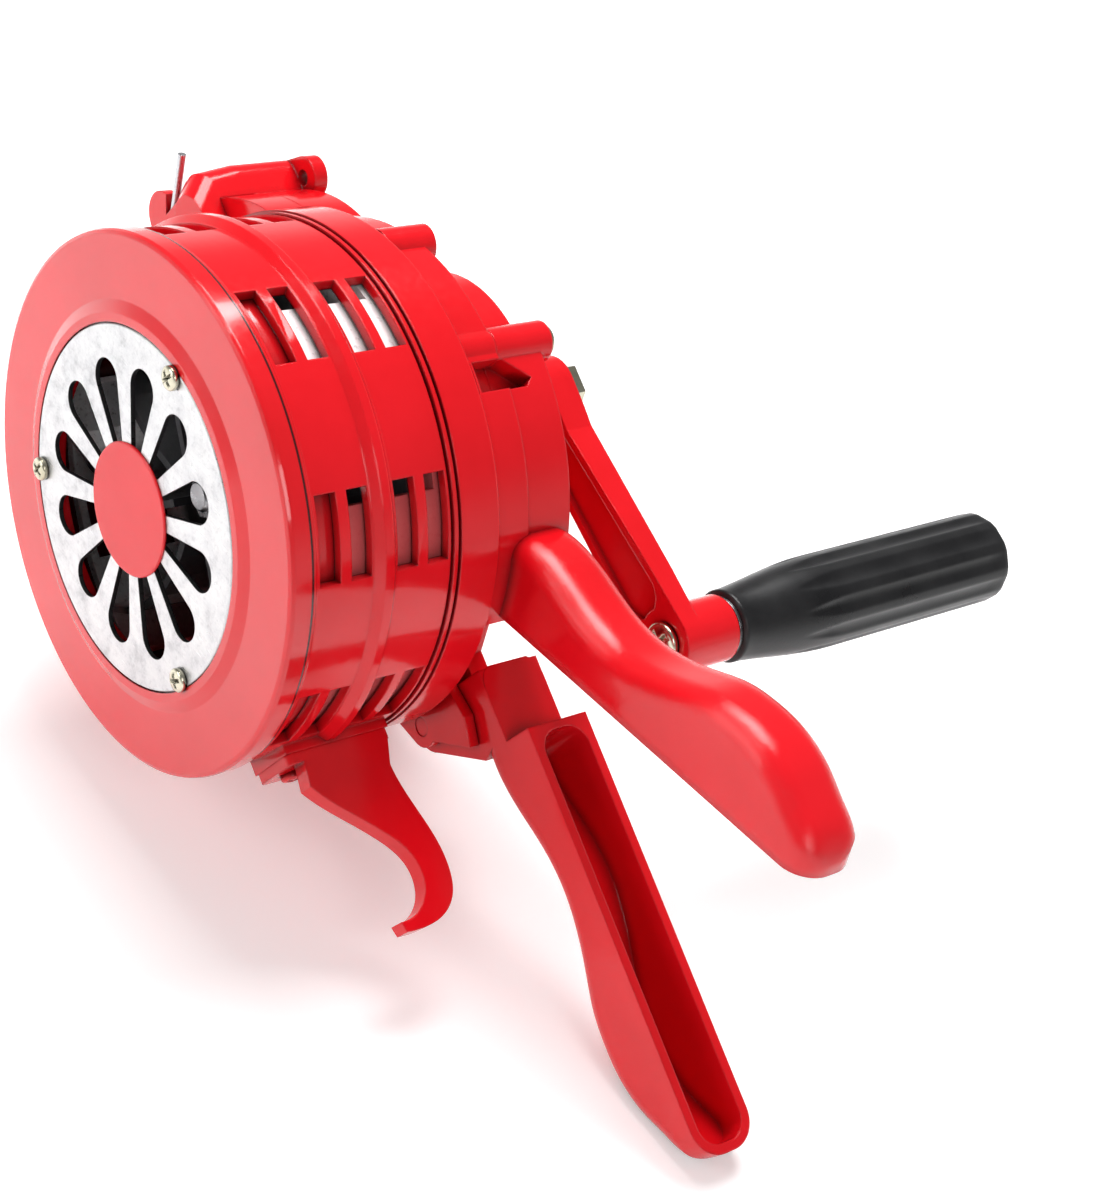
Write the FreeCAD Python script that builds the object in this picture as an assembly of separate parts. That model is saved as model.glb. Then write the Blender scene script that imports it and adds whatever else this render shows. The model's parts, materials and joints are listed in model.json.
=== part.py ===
"""Hand crank siren: cast aluminium drum, gear case, folding grip leg and crank.

Axes while modelling ("siren axes"): Y runs back along the drum axis, the front
rim of the drum is at y = 0, X is to the right seen from the front, and the
opened stand leg points along -Z.  Angles called "bearing" are measured about
the drum axis from +Z towards +X.  The finished siren is laid over by LAY_DEG
about Y, onto its gear case and stand leg, and lifted to z = 0.
"""
import FreeCAD, Part
import math
import os
from FreeCAD import Vector

# ---------------------------------------------------------------- driving sizes
# drum and front cover
COVER_R = 65.0            # outside radius of the front cover
COVER_DEPTH = 5.8         # front rim to the parting line with the drum
COVER_WALL = 3.0
COVER_CORNER = 1.2
BOSS_FOOT_R = 49.0        # foot and lip of the raised seat round the grille
BOSS_LIP_R = 46.0
BOSS_RISE = 1.3
INTAKE_R = 38.0           # air opening behind the grille
SKIRT_DEPTH = 9.2         # skirt of the cover that reaches into the drum
SKIRT_WALL = 2.3
DRUM_R = 64.1
DRUM_WALL = 2.6
DRUM_BACK_Y = 46.3        # parting line between drum and back plate
BAND_RISE = 0.5           # raised bands at both ends of the drum
BEAD_Y, SEAM_W, SEAM_DEPTH = (44.5, 45.6), 0.7, 1.2   # bead between two grooves at the back of the drum
BAND_WIDTH = 1.5
RIB_Y = 25.5              # middle of the rib round the drum
RIB_WIDTH = 6.0
RIB_RISE = 1.9
WINDOW_SPANS = ((8.1, 13.6), (16.5, 22.0), (28.9, 34.6), (37.4, 43.1))
WINDOW_GROUPS = 8
WINDOW_BEARING = 76.6     # middle of one group of windows
WINDOW_ARC = 18.3
PAD_X = (-14.0, 2.5)      # flat pad under the drum that carries the hook foot
RIB_GAP = (177.6, 194.0)  # bearings between which the rib stops for the pad
PAD_BOTTOM = 66.4

# grille
GRILLE_R = 43.6
GRILLE_T = 1.2
PETALS = 12
PETAL_BEARING = -9.0      # first slot of the grille
PETAL_IN_R, PETAL_OUT_R = 13.5, 30.8
PETAL_SMALL, PETAL_LARGE = 1.7, 5.0
CENTRE_HOLE_R = 5.0
DISC_R, DISC_T = 16.2, 0.6
GRILLE_SCREWS = 3
GRILLE_SCREW_R = 41.5     # pitch radius of the grille screws
GRILLE_SCREW_BEARING = 68.0
M3_R, M3_HEAD_R, M3_HEAD_H = 1.5, 2.9, 1.9

# rotor
ROTOR_GAP = 0.6           # running gap between rotor rim and drum
ROTOR_FRONT_Y, ROTOR_BACK_Y = 16.0, 44.5
ROTOR_RIM = 2.7
ROTOR_DISC = 2.4
ROTOR_PORT_BEARING = 62.0
ROTOR_PORT_ARC = 18.3
HUB_R, HUB_FRONT_Y = 11.0, 24.0
VANE_T = 2.0
VANE_SWEEP = 24.0         # bearing that a vane gains from hub to rim
SHAFT_R = 4.0             # rotor shaft
BEARING_R, BEARING_W = 11.0, 7.0
NUT_R, NUT_H = 6.5, 5.0

# back plate and gear case
FLANGE_R = 64.9
FLANGE_BACK_Y = 58.0
PLATE_T = 3.0
BEARING_BOSS_R = 14.0
CASE_R = 61.5             # front tray, round the drum axis
TRAY_BACK_Y = 68.6
TRAY_FLOOR = 2.5
CASE_WALL = 2.5
LOBE_R = 58.0             # lobe of the case round the large gear
LOBE_BACK_Y = 100.0
CRANK_LOBE_R = 34.5       # lobe of the case round the crank gear
SIDE_R = 60.4             # side of the cover beside the grip
SIDE_BACK_Y = 82.0
SIDE_BEARINGS = (90.0, 148.0)
POCKET_BEARING, POCKET_FLOOR_R = 94.5, 54.6
POCKET_CORNERS = ((91.2, 60.4), (98.0, 60.4), (98.0, 74.5), (96.2, 76.5), (91.2, 70.0))
GEAR_CLEAR_R = 32.4       # room round the crank gear
RELIEF_POINT = (-14.0, -57.8)   # underside of the case above the leg hinge
RELIEF_DEG = 31.6
SADDLE_AT, SADDLE_R = (-24.0, 37.0), 46.5   # raised shoulder of the case that carries the bar
SADDLE_BACK_Y = 81.5
TUBE_R, TUBE_BACK_Y = 12.0, 104.0
M4_R, M4_HEAD_R, M4_HEAD_H = 2.0, 3.8, 2.4
BOSS_R = 5.0

# gear train, module and tooth numbers
MODULE = 1.25
PRESSURE_DEG = 25.0
BACKLASH = 0.3
ADDENDUM, DEDENDUM = 0.8, 1.15
T_CRANK, T_IDLER_IN = 48, 18
T_IDLER_OUT, T_LARGE_IN = 32, 14
T_LARGE_OUT, T_ROTOR = 70, 12
CRANK_X, CRANK_Z = 20.0, 3.0
LARGE_BEARING = -63.4
FACE = 6.0                # face width of the gears
ROTOR_MESH_Y = 62.1       # fronts of the three meshing planes
CRANK_MESH_Y = 70.4
LARGE_MESH_Y = 79.2
AXLE_R = 4.0
CRANK_SHAFT_R = 5.0
BUSH_R = 7.5

# crank
ARM_LENGTH = 74.6
ARM_BEARING = 170.0       # direction of the arm from the crank shaft
ARM_FRONT_Y = 106.5
ARM_T_HUB, ARM_T_TIP = 8.5, 6.0
ARM_HUB_R, ARM_TIP_R = 9.5, 8.6
ARM_WAIST, ARM_WAIST_LOW = 6.7, 8.5
ARM_RECESS, ARM_RIM = 1.6, 2.2
GRIP_BOSS_LEN = 12.0
GRIP_LEN = 96.5
GRIP_NECK_R, GRIP_R = 9.4, 12.5
FLUTES, FLUTE_R, FLUTE_DEPTH = 12, 2.6, 0.9
FLUTE_START = 0.24
GRIP_PIN_R = 3.0
PIN_HEAD_R, PIN_HEAD_H = 5.2, 2.6

# grip halves (the fixed half and the stand leg share one shape)
LEG_FRONT_Y, LEG_W = 64.0, 18.0
LEG_WALL = 2.4
LEG_ROUND = 5.0
LEG_LENGTH = 127.0
# height of the outer curve over the joint face, from the tip to the root
LEG_CURVE = ((0.0, 3.0), (0.8, 5.4), (2.4, 8.0), (4.8, 10.4), (8.0, 12.7), (14.0, 17.2), (20.0, 20.1),
             (26.0, 21.6), (33.0, 22.0), (41.5, 21.2), (48.0, 19.2), (54.0, 17.1), (62.0, 15.0), (71.0, 14.1),
             (81.0, 15.5), (94.0, 19.5), (106.0, 21.0), (115.0, 19.0), (122.0, 15.5), (127.0, 10.5))
LEG_TIP_ROUND = 7.6       # corner radius of the tip, seen square to the joint face
CHANNEL_END = 106.0
FIXED_TIP = (93.0, -140.0)
FIXED_DEG = 35.8          # lean of the fixed half from -Z towards +X
LEG_TIP = (24.5, -188.0)
NOTCH = 9.8               # step in the joint face of the leg above the channel
HINGE = (-12.0, -66.0)
HINGE_R = 7.4
HINGE_PIN_R = 2.5
KNUCKLE_W = 12.0
EAR_GAP = 0.3
FRONT_EAR_Y, FRONT_EAR_R = 60.8, 5.4
FRONT_EAR = [(-25.0, -54.0), (-16.9, -68.2), (-9.6, -70.8), (4.0, -77.2), (6.5, -70.0), (2.0, -50.0)]

# hook foot, its outline as (y, z) corners of a flat plate square to X
HOOK_T = 5.0
HOOK_BASE_T = 2.6
HOOK_BASE_Y = (13.0, 42.0)
HOOK_SCREWS = ((-8.2, 19.0), (-8.2, 36.0))
HOOK_FRONT = ((16.0, -75.2), (23.7, -83.8), (31.2, -91.4), (35.4, -98.0), (36.0, -103.0), (34.3, -107.8),
              (31.0, -110.6), (25.8, -111.6))
HOOK_REAR = ((26.4, -114.2), (32.4, -114.4), (38.2, -112.8), (41.9, -109.3), (43.6, -103.8), (43.4, -96.6),
             (40.7, -85.6), (38.8, -75.3))

# spring handle and its fittings
SPRING_R = 3.3
SPRING_SIDES = 14
SPRING_Y = 54.2
SPRING_TOP, SPRING_LEFT, SPRING_LOW = (-38.0, 74.0), (-83.0, 38.0), (-72.0, -18.0)
FERRULE_R, FERRULE_LEN = 3.7, 8.0
SPRING_PIN_R, SPRING_PIN_HEAD_R = 1.6, 2.8
TAB_AT, TAB_R, TAB_T = (-27.0, 87.0), 6.5, 3.0
TAB_TURN = 40.0
TAB_Y = 53.8
BAR_PIN_R = 1.1
BAR_PIN_ENDS = ((-25.0, 84.2), (-9.8, 95.3))

FIT = 0.05                # radial clearance of running fits
SLACK = 0.3               # clearance between moving and fixed faces

LAY_DEG = 58.4            # how far the siren lies over from its stand leg pointing down

AXIS = Vector(0, 1, 0)
ORIGIN = Vector(0, 0, 0)
NODES = {}
# ---------------------------------------------------------------- places that follow from the sizes
BEARING_Y = DRUM_BACK_Y + 0.5
SECOND_BEARING_Y = BEARING_Y + BEARING_W + 0.2
BOSS_BACK_Y = SECOND_BEARING_Y + BEARING_W
CRANK_AT = (CRANK_X, CRANK_Z)
BAR_X, BAR_TOP, BAR_HALF = -11.5, 90.5, 6.5
BAR_FRONT_Y, BAR_BACK_Y = 50.5, 83.5
BAR_FOOT_Z, BAR_NOSE_Z = 62.0, 72.0
BAR_ROUND = 5.4
EAR_AT, EAR_R, EAR_T, EAR_HOLE_R = (-3.0, 81.8), 5.6, 4.0, 2.1
COVER_CUT_Y = TRAY_BACK_Y - 2.0
ARM_BACK_Y = ARM_FRONT_Y + ARM_T_HUB
BUSH_FRONT_Y = CRANK_MESH_Y + FACE + SLACK
GRIP_FRONT_Y = ARM_FRONT_Y + ARM_T_TIP + GRIP_BOSS_LEN + 1.0
GRIP_SHARES = (0.0, 0.06, 0.14, 0.22, 0.30, 0.38, 0.46)
FIXED_TAB_T = 2.5
FIXED_TAB = [(0.6, 92.0), (0.6, 124.0), (5.0, 126.0), (10.0, 124.0), (14.0, 116.0), (14.8, 106.0), (12.0, 94.0)]
FIXED_SCREWS = ((108.0, 10.6), (120.0, 7.6))   # along the half and out from its joint face


# ---------------------------------------------------------------- helpers
def spot(bearing, radius, centre=(0.0, 0.0)):
    """(x, z) at a bearing and radius round a centre."""
    turn = math.radians(bearing)
    return (centre[0] + radius * math.sin(turn), centre[1] + radius * math.cos(turn))


def cylinder(radius, y0, y1, centre=(0.0, 0.0)):
    return Part.makeCylinder(radius, y1 - y0, Vector(centre[0], y0, centre[1]), AXIS)


def ring(outer, inner, y0, y1, centre=(0.0, 0.0)):
    return cylinder(outer, y0, y1, centre).cut(cylinder(inner, y0 - 1.0, y1 + 1.0, centre))


def box(x0, x1, y0, y1, z0, z1):
    return Part.makeBox(x1 - x0, y1 - y0, z1 - z0, Vector(x0, y0, z0))


def turned(profile, centre=(0.0, 0.0)):
    """Solid of revolution about the Y direction from (radius, y) points."""
    points = [Vector(radius, y, 0) for radius, y in profile]
    face = Part.Face(Part.makePolygon(points + points[:1]))
    solid = face.revolve(ORIGIN, AXIS, 360.0)
    solid.translate(Vector(centre[0], 0, centre[1]))
    return solid


def plate(points, y0, y1):
    """Prism between y0 and y1 from (x, z) corners."""
    corners = [Vector(x, y0, z) for x, z in points]
    face = Part.Face(Part.makePolygon(corners + corners[:1]))
    return face.extrude(Vector(0, y1 - y0, 0))


def tapered_link(centre_a, radius_a, centre_b, radius_b, y0, y1):
    """Two round ends joined by their outer tangents."""
    gap_x = centre_b[0] - centre_a[0]
    gap_z = centre_b[1] - centre_a[1]
    span = math.hypot(gap_x, gap_z)
    along = math.atan2(gap_z, gap_x)
    lean = math.acos((radius_a - radius_b) / span)
    corners = []
    for centre, radius, side in ((centre_a, radius_a, 1), (centre_b, radius_b, 1),
                                 (centre_b, radius_b, -1), (centre_a, radius_a, -1)):
        turn = along + side * lean
        corners.append((centre[0] + radius * math.cos(turn), centre[1] + radius * math.sin(turn)))
    link = plate(corners, y0, y1)
    link = link.fuse(cylinder(radius_a, y0, y1, centre_a))
    return link.fuse(cylinder(radius_b, y0, y1, centre_b)).removeSplitter()


def wedge(bearing0, bearing1, radius, y0, y1):
    """Pie slice round the drum axis between two bearings."""
    steps = 6
    points = [(0.0, 0.0)]
    for i in range(steps + 1):
        points.append(spot(bearing0 + (bearing1 - bearing0) * i / steps, radius))
    return plate(points, y0, y1)


def fuse_all(solids):
    return solids[0].multiFuse(solids[1:]).removeSplitter() if len(solids) > 1 else solids[0]


def above_relief(shape, lift=0.0):
    """Keep what lies above the slanted underside between the leg hinge and the fixed half."""
    turn = math.radians(RELIEF_DEG)
    along = (math.cos(turn), math.sin(turn))
    normal = (-along[1], along[0])
    start = (RELIEF_POINT[0] + lift * normal[0], RELIEF_POINT[1] + lift * normal[1])
    reach = 200.0
    corners = ((start[0] - reach * along[0], start[1] - reach * along[1]),
               (start[0] + reach * along[0], start[1] + reach * along[1]))
    below = [corners[0], corners[1],
             (corners[1][0] - reach * normal[0], corners[1][1] - reach * normal[1]),
             (corners[0][0] - reach * normal[0], corners[0][1] - reach * normal[1])]
    left_end = RELIEF_POINT[0] - HINGE_R - 8.0
    relief = plate(below, -50.0, 250.0)
    keep_left = box(-reach, left_end, -50.0, 250.0, -reach, reach)
    keep_right = box(-2.0 + lift, reach, -50.0, 250.0, -reach, reach)
    keep_right.rotate(ORIGIN, AXIS, -FIXED_DEG)
    keep_right.translate(Vector(FIXED_TIP[0], 0, FIXED_TIP[1]))
    return shape.cut(relief.cut(keep_left).cut(keep_right))


def pan_screw(radius, head_radius, head_height, length, head_y, centre, forward=1):
    """Pan screw; its head starts at head_y and its shank points forward or back along Y."""
    under = head_y + forward * head_height
    crown = 0.5 * head_height
    return turned([(0.0, head_y), (0.68 * head_radius, head_y), (head_radius, head_y + forward * crown),
                   (head_radius, under), (radius, under), (radius, under + forward * length),
                   (0.0, under + forward * length)], centre)


def hex_nut(across_corners_r, y0, y1, bore, centre):
    corners = [spot(60.0 * k, across_corners_r, centre) for k in range(6)]
    return plate(corners, y0, y1).cut(cylinder(bore, y0 - 1.0, y1 + 1.0, centre))


def node(name, solids):
    """File a sub-part: one solid, or a list of separate alike solids."""
    NODES[name] = solids if isinstance(solids, list) else [solids]


# ---------------------------------------------------------------- front of the drum
def screw_spots():
    return [spot(GRILLE_SCREW_BEARING + 360.0 * k / GRILLE_SCREWS, GRILLE_SCREW_R)
            for k in range(GRILLE_SCREWS)]


def front_cover():
    seat_y = GRILLE_T - BOSS_RISE
    skirt_r = DRUM_R - DRUM_WALL - FIT * 4
    skirt_back = COVER_DEPTH + SKIRT_DEPTH
    cover = turned([
        (INTAKE_R, seat_y), (GRILLE_R + SLACK, seat_y), (GRILLE_R + SLACK, -BOSS_RISE),
        (BOSS_LIP_R, -BOSS_RISE), (BOSS_FOOT_R, 0.0), (COVER_R - COVER_CORNER, 0.0),
        (COVER_R - 0.3 * COVER_CORNER, 0.3 * COVER_CORNER), (COVER_R, COVER_CORNER),
        (COVER_R, COVER_DEPTH), (skirt_r, COVER_DEPTH), (skirt_r, skirt_back),
        (skirt_r - SKIRT_WALL, skirt_back), (skirt_r - SKIRT_WALL, COVER_WALL),
        (INTAKE_R, COVER_WALL)])
    for centre in screw_spots():
        cover = cover.cut(cylinder(M3_R + FIT, -5.0, COVER_WALL + 1.0, centre))
    return cover


def petal(bearing):
    tool = tapered_link((0.0, PETAL_IN_R), PETAL_SMALL, (0.0, PETAL_OUT_R), PETAL_LARGE, -5.0, 5.0)
    tool.rotate(ORIGIN, AXIS, bearing)
    return tool


def grille_plate():
    front = -BOSS_RISE
    disc = turned([(CENTRE_HOLE_R, front), (GRILLE_R - 0.3, front), (GRILLE_R, front + 0.3),
                   (GRILLE_R, front + GRILLE_T), (CENTRE_HOLE_R, front + GRILLE_T)])
    for k in range(PETALS):
        disc = disc.cut(petal(PETAL_BEARING + 360.0 * k / PETALS))
    for centre in screw_spots():
        disc = disc.cut(cylinder(M3_R + FIT, -5.0, 5.0, centre))
    return disc


def centre_disc():
    back = -BOSS_RISE
    return turned([(0.0, back - DISC_T), (DISC_R - 0.3, back - DISC_T), (DISC_R, back - 0.5 * DISC_T),
                   (DISC_R, back), (0.0, back)])


def grille_screws():
    head_y = -BOSS_RISE - M3_HEAD_H
    length = BOSS_RISE + COVER_WALL - 0.2
    return [pan_screw(M3_R, M3_HEAD_R, M3_HEAD_H, length, head_y, centre)
            for centre in screw_spots()]


# ---------------------------------------------------------------- drum
def window_groups():
    return [WINDOW_BEARING + 360.0 * k / WINDOW_GROUPS for k in range(WINDOW_GROUPS)]


def drum_shell():
    inner = DRUM_R - DRUM_WALL
    half = RIB_WIDTH / 2.0
    shell = turned([
        (inner, COVER_DEPTH), (DRUM_R + BAND_RISE, COVER_DEPTH),
        (DRUM_R + BAND_RISE, COVER_DEPTH + BAND_WIDTH * 0.6), (DRUM_R, COVER_DEPTH + BAND_WIDTH),
        (DRUM_R, RIB_Y - half), (DRUM_R + RIB_RISE, RIB_Y - 0.4 * half),
        (DRUM_R + RIB_RISE, RIB_Y + 0.4 * half), (DRUM_R, RIB_Y + half),
        (DRUM_R, BEAD_Y[0] - SEAM_W), (DRUM_R - SEAM_DEPTH, BEAD_Y[0] - SEAM_W), (DRUM_R - SEAM_DEPTH, BEAD_Y[0]),
        (DRUM_R + BAND_RISE, BEAD_Y[0]), (DRUM_R + BAND_RISE, BEAD_Y[1]), (DRUM_R - SEAM_DEPTH, BEAD_Y[1]),
        (DRUM_R - SEAM_DEPTH, DRUM_BACK_Y), (inner, DRUM_BACK_Y)])
    # the rib stops short of the pad under the drum
    gap = wedge(*RIB_GAP, 90.0, RIB_Y - half - 0.1, RIB_Y + half + 0.1)
    shell = shell.cut(gap.cut(cylinder(DRUM_R, 0.0, DRUM_BACK_Y)))
    pad = box(*PAD_X, HOOK_BASE_Y[0], HOOK_BASE_Y[1],
              -PAD_BOTTOM, -DRUM_R + DRUM_WALL)
    pad = pad.cut(cylinder(DRUM_R - 0.5 * DRUM_WALL, 0.0, 60.0))
    shell = shell.fuse(pad)
    for middle in window_groups():
        for y0, y1 in WINDOW_SPANS:
            slot = wedge(middle - WINDOW_ARC / 2, middle + WINDOW_ARC / 2, 90.0, y0, y1)
            shell = shell.cut(slot.cut(cylinder(40.0, 0.0, 60.0)))
    for place in hook_screw_spots():
        shell = shell.cut(upright(M3_R, place, -PAD_BOTTOM - 1.0, -DRUM_R + DRUM_WALL - 1.0 + 3.0))
    return shell.removeSplitter()


# ---------------------------------------------------------------- rotor
def vane(bearing, reach):
    """Swept vane from the hub to the rim, as a strip of even thickness."""
    steps = 6
    lead, trail = [], []
    for i in range(steps + 1):
        radius = HUB_R - 1.0 + (reach - HUB_R + 1.0) * i / steps
        here = bearing + VANE_SWEEP * (i / steps) ** 1.5
        half = math.degrees(VANE_T / 2.0 / radius)
        lead.append(spot(here - half, radius))
        trail.append(spot(here + half, radius))
    return plate(lead + trail[::-1], ROTOR_FRONT_Y, ROTOR_BACK_Y - ROTOR_DISC + 0.1)


def rotor():
    outer = DRUM_R - DRUM_WALL - ROTOR_GAP
    inner = outer - ROTOR_RIM
    disc_front = ROTOR_BACK_Y - ROTOR_DISC
    body = turned([
        (SHAFT_R, HUB_FRONT_Y), (HUB_R - 1.5, HUB_FRONT_Y), (HUB_R, HUB_FRONT_Y + 1.5),
        (HUB_R, disc_front), (inner, disc_front), (inner, ROTOR_FRONT_Y),
        (outer, ROTOR_FRONT_Y), (outer, ROTOR_BACK_Y), (SHAFT_R, ROTOR_BACK_Y)])
    port_y0 = ROTOR_FRONT_Y + 2.2
    for k in range(WINDOW_GROUPS):
        middle = ROTOR_PORT_BEARING + 360.0 * k / WINDOW_GROUPS
        port = wedge(middle - ROTOR_PORT_ARC / 2, middle + ROTOR_PORT_ARC / 2, 90.0,
                     port_y0, disc_front)
        body = body.cut(port.cut(cylinder(inner - 6.0, 0.0, 60.0)))
        pad_bearing = middle + 180.0 / WINDOW_GROUPS
        body = body.fuse(vane(pad_bearing - VANE_SWEEP, inner + 0.6))
    return body.removeSplitter()


def rotor_shaft():
    front = HUB_FRONT_Y - NUT_H - 2.0
    back = ROTOR_MESH_Y + FACE + 0.6
    collar_back = BEARING_Y - SLACK
    return turned([(0.0, front), (SHAFT_R - 0.8, front), (SHAFT_R, front + 0.8),
                   (SHAFT_R, ROTOR_BACK_Y), (SHAFT_R + 1.8, ROTOR_BACK_Y), (SHAFT_R + 1.8, collar_back),
                   (SHAFT_R, collar_back), (SHAFT_R, back - 0.6), (SHAFT_R - 0.6, back), (0.0, back)])


def rotor_bearing(y0):
    bore = SHAFT_R + FIT
    groove = 0.6
    return turned([(bore, y0), (bore + 2.0, y0), (bore + 2.0, y0 + groove), (BEARING_R - 1.8, y0 + groove),
                   (BEARING_R - 1.8, y0), (BEARING_R, y0), (BEARING_R, y0 + BEARING_W),
                   (bore, y0 + BEARING_W)])


# ---------------------------------------------------------------- back plate
def back_plate():
    spigot_r = DRUM_R - DRUM_WALL - FIT * 4
    return turned([
        (BEARING_R - 2.0, DRUM_BACK_Y - 0.7), (spigot_r, DRUM_BACK_Y - 0.7), (spigot_r, DRUM_BACK_Y),
        (FLANGE_R, DRUM_BACK_Y), (FLANGE_R, FLANGE_BACK_Y - 1.0), (FLANGE_R - 1.0, FLANGE_BACK_Y),
        (CASE_R - CASE_WALL, FLANGE_BACK_Y), (CASE_R - CASE_WALL, DRUM_BACK_Y + PLATE_T),
        (BEARING_BOSS_R, DRUM_BACK_Y + PLATE_T), (BEARING_BOSS_R, BOSS_BACK_Y),
        (BEARING_R, BOSS_BACK_Y), (BEARING_R, BEARING_Y), (BEARING_R - 2.0, BEARING_Y)])


# ---------------------------------------------------------------- gear train
def pitch(teeth):
    return MODULE * teeth / 2.0


LARGE_AT = spot(LARGE_BEARING, pitch(T_LARGE_OUT) + pitch(T_ROTOR))


def idler_centre():
    """Centre at the two mesh distances from the crank gear and the large gear."""
    near = pitch(T_CRANK) + pitch(T_IDLER_IN)
    far = pitch(T_IDLER_OUT) + pitch(T_LARGE_IN)
    gap_x = LARGE_AT[0] - CRANK_AT[0]
    gap_z = LARGE_AT[1] - CRANK_AT[1]
    span = math.hypot(gap_x, gap_z)
    along = (near ** 2 - far ** 2 + span ** 2) / (2.0 * span)
    side = math.sqrt(max(near ** 2 - along ** 2, 0.0))
    ux, uz = gap_x / span, gap_z / span
    return (CRANK_AT[0] + along * ux - side * uz, CRANK_AT[1] + along * uz + side * ux)


IDLER_AT = idler_centre()


def bearing_to(here, there):
    return math.degrees(math.atan2(there[0] - here[0], there[1] - here[1]))


def gear(teeth, width, y0, centre, facing, tooth_there):
    """Spur gear with involute flanks; a tooth, or a gap, looks along the bearing 'facing'."""
    radius = pitch(teeth)
    base = radius * math.cos(math.radians(PRESSURE_DEG))
    tip = radius + ADDENDUM * MODULE
    root = radius - DEDENDUM * MODULE

    def roll(at):
        """Angle that the involute has turned at a radius."""
        flat = math.sqrt(max((at / base) ** 2 - 1.0, 0.0))
        return flat - math.atan(flat)

    half_pitch = math.pi / 2.0 / teeth - BACKLASH / 2.0 / radius
    flank = [max(base, root), radius, tip]
    outline = []
    start = 0.0 if tooth_there else 0.5
    for k in range(teeth):
        middle = 2.0 * math.pi * (k + start) / teeth
        left = [(root, half_pitch + roll(radius) - roll(root))]
        left += [(at, half_pitch + roll(radius) - roll(at)) for at in flank if at > root]
        for at, turn in left:
            outline.append((at, middle - turn))
        for at, turn in reversed(left):
            outline.append((at, middle + turn))
    points = [spot(facing + math.degrees(turn), at, centre) for at, turn in outline]
    return plate(points, y0, y0 + width)


def compound(wheel, pinion, hub_r, y0, y1, bore, centre):
    body = fuse_all([wheel, pinion, cylinder(hub_r, y0, y1, centre)])
    return body.cut(cylinder(bore, y0 - 5.0, y1 + 5.0, centre))


def lighten(wheel, centre, hub_r, rim_r, y0):
    """Shallow web recess and round holes between hub and rim."""
    recess = ring(rim_r, hub_r, y0 - 1.0, y0 + 1.6, centre)
    wheel = wheel.cut(recess)
    middle = (hub_r + rim_r) / 2.0
    hole = (rim_r - hub_r) * 0.3
    for k in range(6):
        spot_k = spot(60.0 * k, middle, centre)
        wheel = wheel.cut(cylinder(hole, y0 - 1.0, y0 + 20.0, spot_k))
    return wheel


def rotor_pinion():
    wheel = gear(T_ROTOR, FACE, ROTOR_MESH_Y, (0.0, 0.0), bearing_to((0.0, 0.0), LARGE_AT), False)
    return wheel.cut(cylinder(SHAFT_R, 0.0, 100.0))


def large_gear():
    wheel = gear(T_LARGE_OUT, FACE, ROTOR_MESH_Y, LARGE_AT, bearing_to(LARGE_AT, (0.0, 0.0)), True)
    wheel = lighten(wheel, LARGE_AT, 9.0, pitch(T_LARGE_OUT) - 5.0, ROTOR_MESH_Y)
    pinion = gear(T_LARGE_IN, FACE, LARGE_MESH_Y, LARGE_AT, bearing_to(LARGE_AT, IDLER_AT), False)
    return compound(wheel, pinion, 6.5, ROTOR_MESH_Y, LARGE_MESH_Y + FACE, AXLE_R + FIT, LARGE_AT)


def idler_gear():
    wheel = gear(T_IDLER_OUT, FACE, LARGE_MESH_Y, IDLER_AT, bearing_to(IDLER_AT, LARGE_AT), True)
    pinion = gear(T_IDLER_IN, FACE, CRANK_MESH_Y, IDLER_AT, bearing_to(IDLER_AT, CRANK_AT), False)
    return compound(wheel, pinion, 7.0, CRANK_MESH_Y, LARGE_MESH_Y + FACE, AXLE_R + FIT, IDLER_AT)


def crank_gear():
    wheel = gear(T_CRANK, FACE, CRANK_MESH_Y, CRANK_AT, bearing_to(CRANK_AT, IDLER_AT), True)
    wheel = lighten(wheel, CRANK_AT, 9.0, pitch(T_CRANK) - 4.5, CRANK_MESH_Y)
    return wheel.cut(cylinder(CRANK_SHAFT_R, 0.0, 150.0, CRANK_AT))


def idler_axle():
    """Axle held in the cover, with a head in front of the idler gear."""
    head = CRANK_MESH_Y - SLACK
    return turned([(0.0, head - 1.2), (AXLE_R + 1.8, head - 1.2), (AXLE_R + 1.8, head), (AXLE_R, head),
                   (AXLE_R, LOBE_BACK_Y - 2.0), (0.0, LOBE_BACK_Y - 2.0)], IDLER_AT)


# ---------------------------------------------------------------- gear case
def case_bosses():
    """(bearing, centre it is measured round, back end) of the screw bosses."""
    outside = LOBE_R + BOSS_R - 0.6
    return ((90.0, CRANK_AT, CRANK_LOBE_R + 2.8, SIDE_BACK_Y + 3.5),
            (-12.0, LARGE_AT, outside, 80.0),
            (-80.0, LARGE_AT, outside, 80.0),
            (-172.0, LARGE_AT, outside, 80.0))


def case_screw_spots():
    return [(spot(bearing, radius, centre), back) for bearing, centre, radius, back in case_bosses()]


def flange_boss():
    """Short boss on the shoulder of the tray."""
    return spot(53.0, CASE_R - 2.0)


def outline_round(radius_change, y0, y1, lobe_back):
    """Drum-sized round, joined with the lobe of the large gear."""
    main = cylinder(CASE_R + radius_change, y0, y1)
    lobe = cylinder(LOBE_R + radius_change, y0, lobe_back, LARGE_AT)
    saddle = cylinder(SADDLE_R + radius_change, y0, y1, SADDLE_AT)
    return fuse_all([main, lobe, saddle])


def side_pocket():
    """Pocket in the right side of the case, square to its side, below the screw boss."""
    middle = math.radians(POCKET_BEARING)
    corners = []
    for bearing, y in POCKET_CORNERS:
        down = CASE_R * math.radians(bearing - POCKET_BEARING)
        corners.append(Vector(POCKET_FLOOR_R, y, -down))
    tool = Part.Face(Part.makePolygon(corners + corners[:1])).extrude(Vector(20.0, 0, 0))
    tool.rotate(ORIGIN, AXIS, math.degrees(middle) - 90.0)
    return tool


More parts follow.
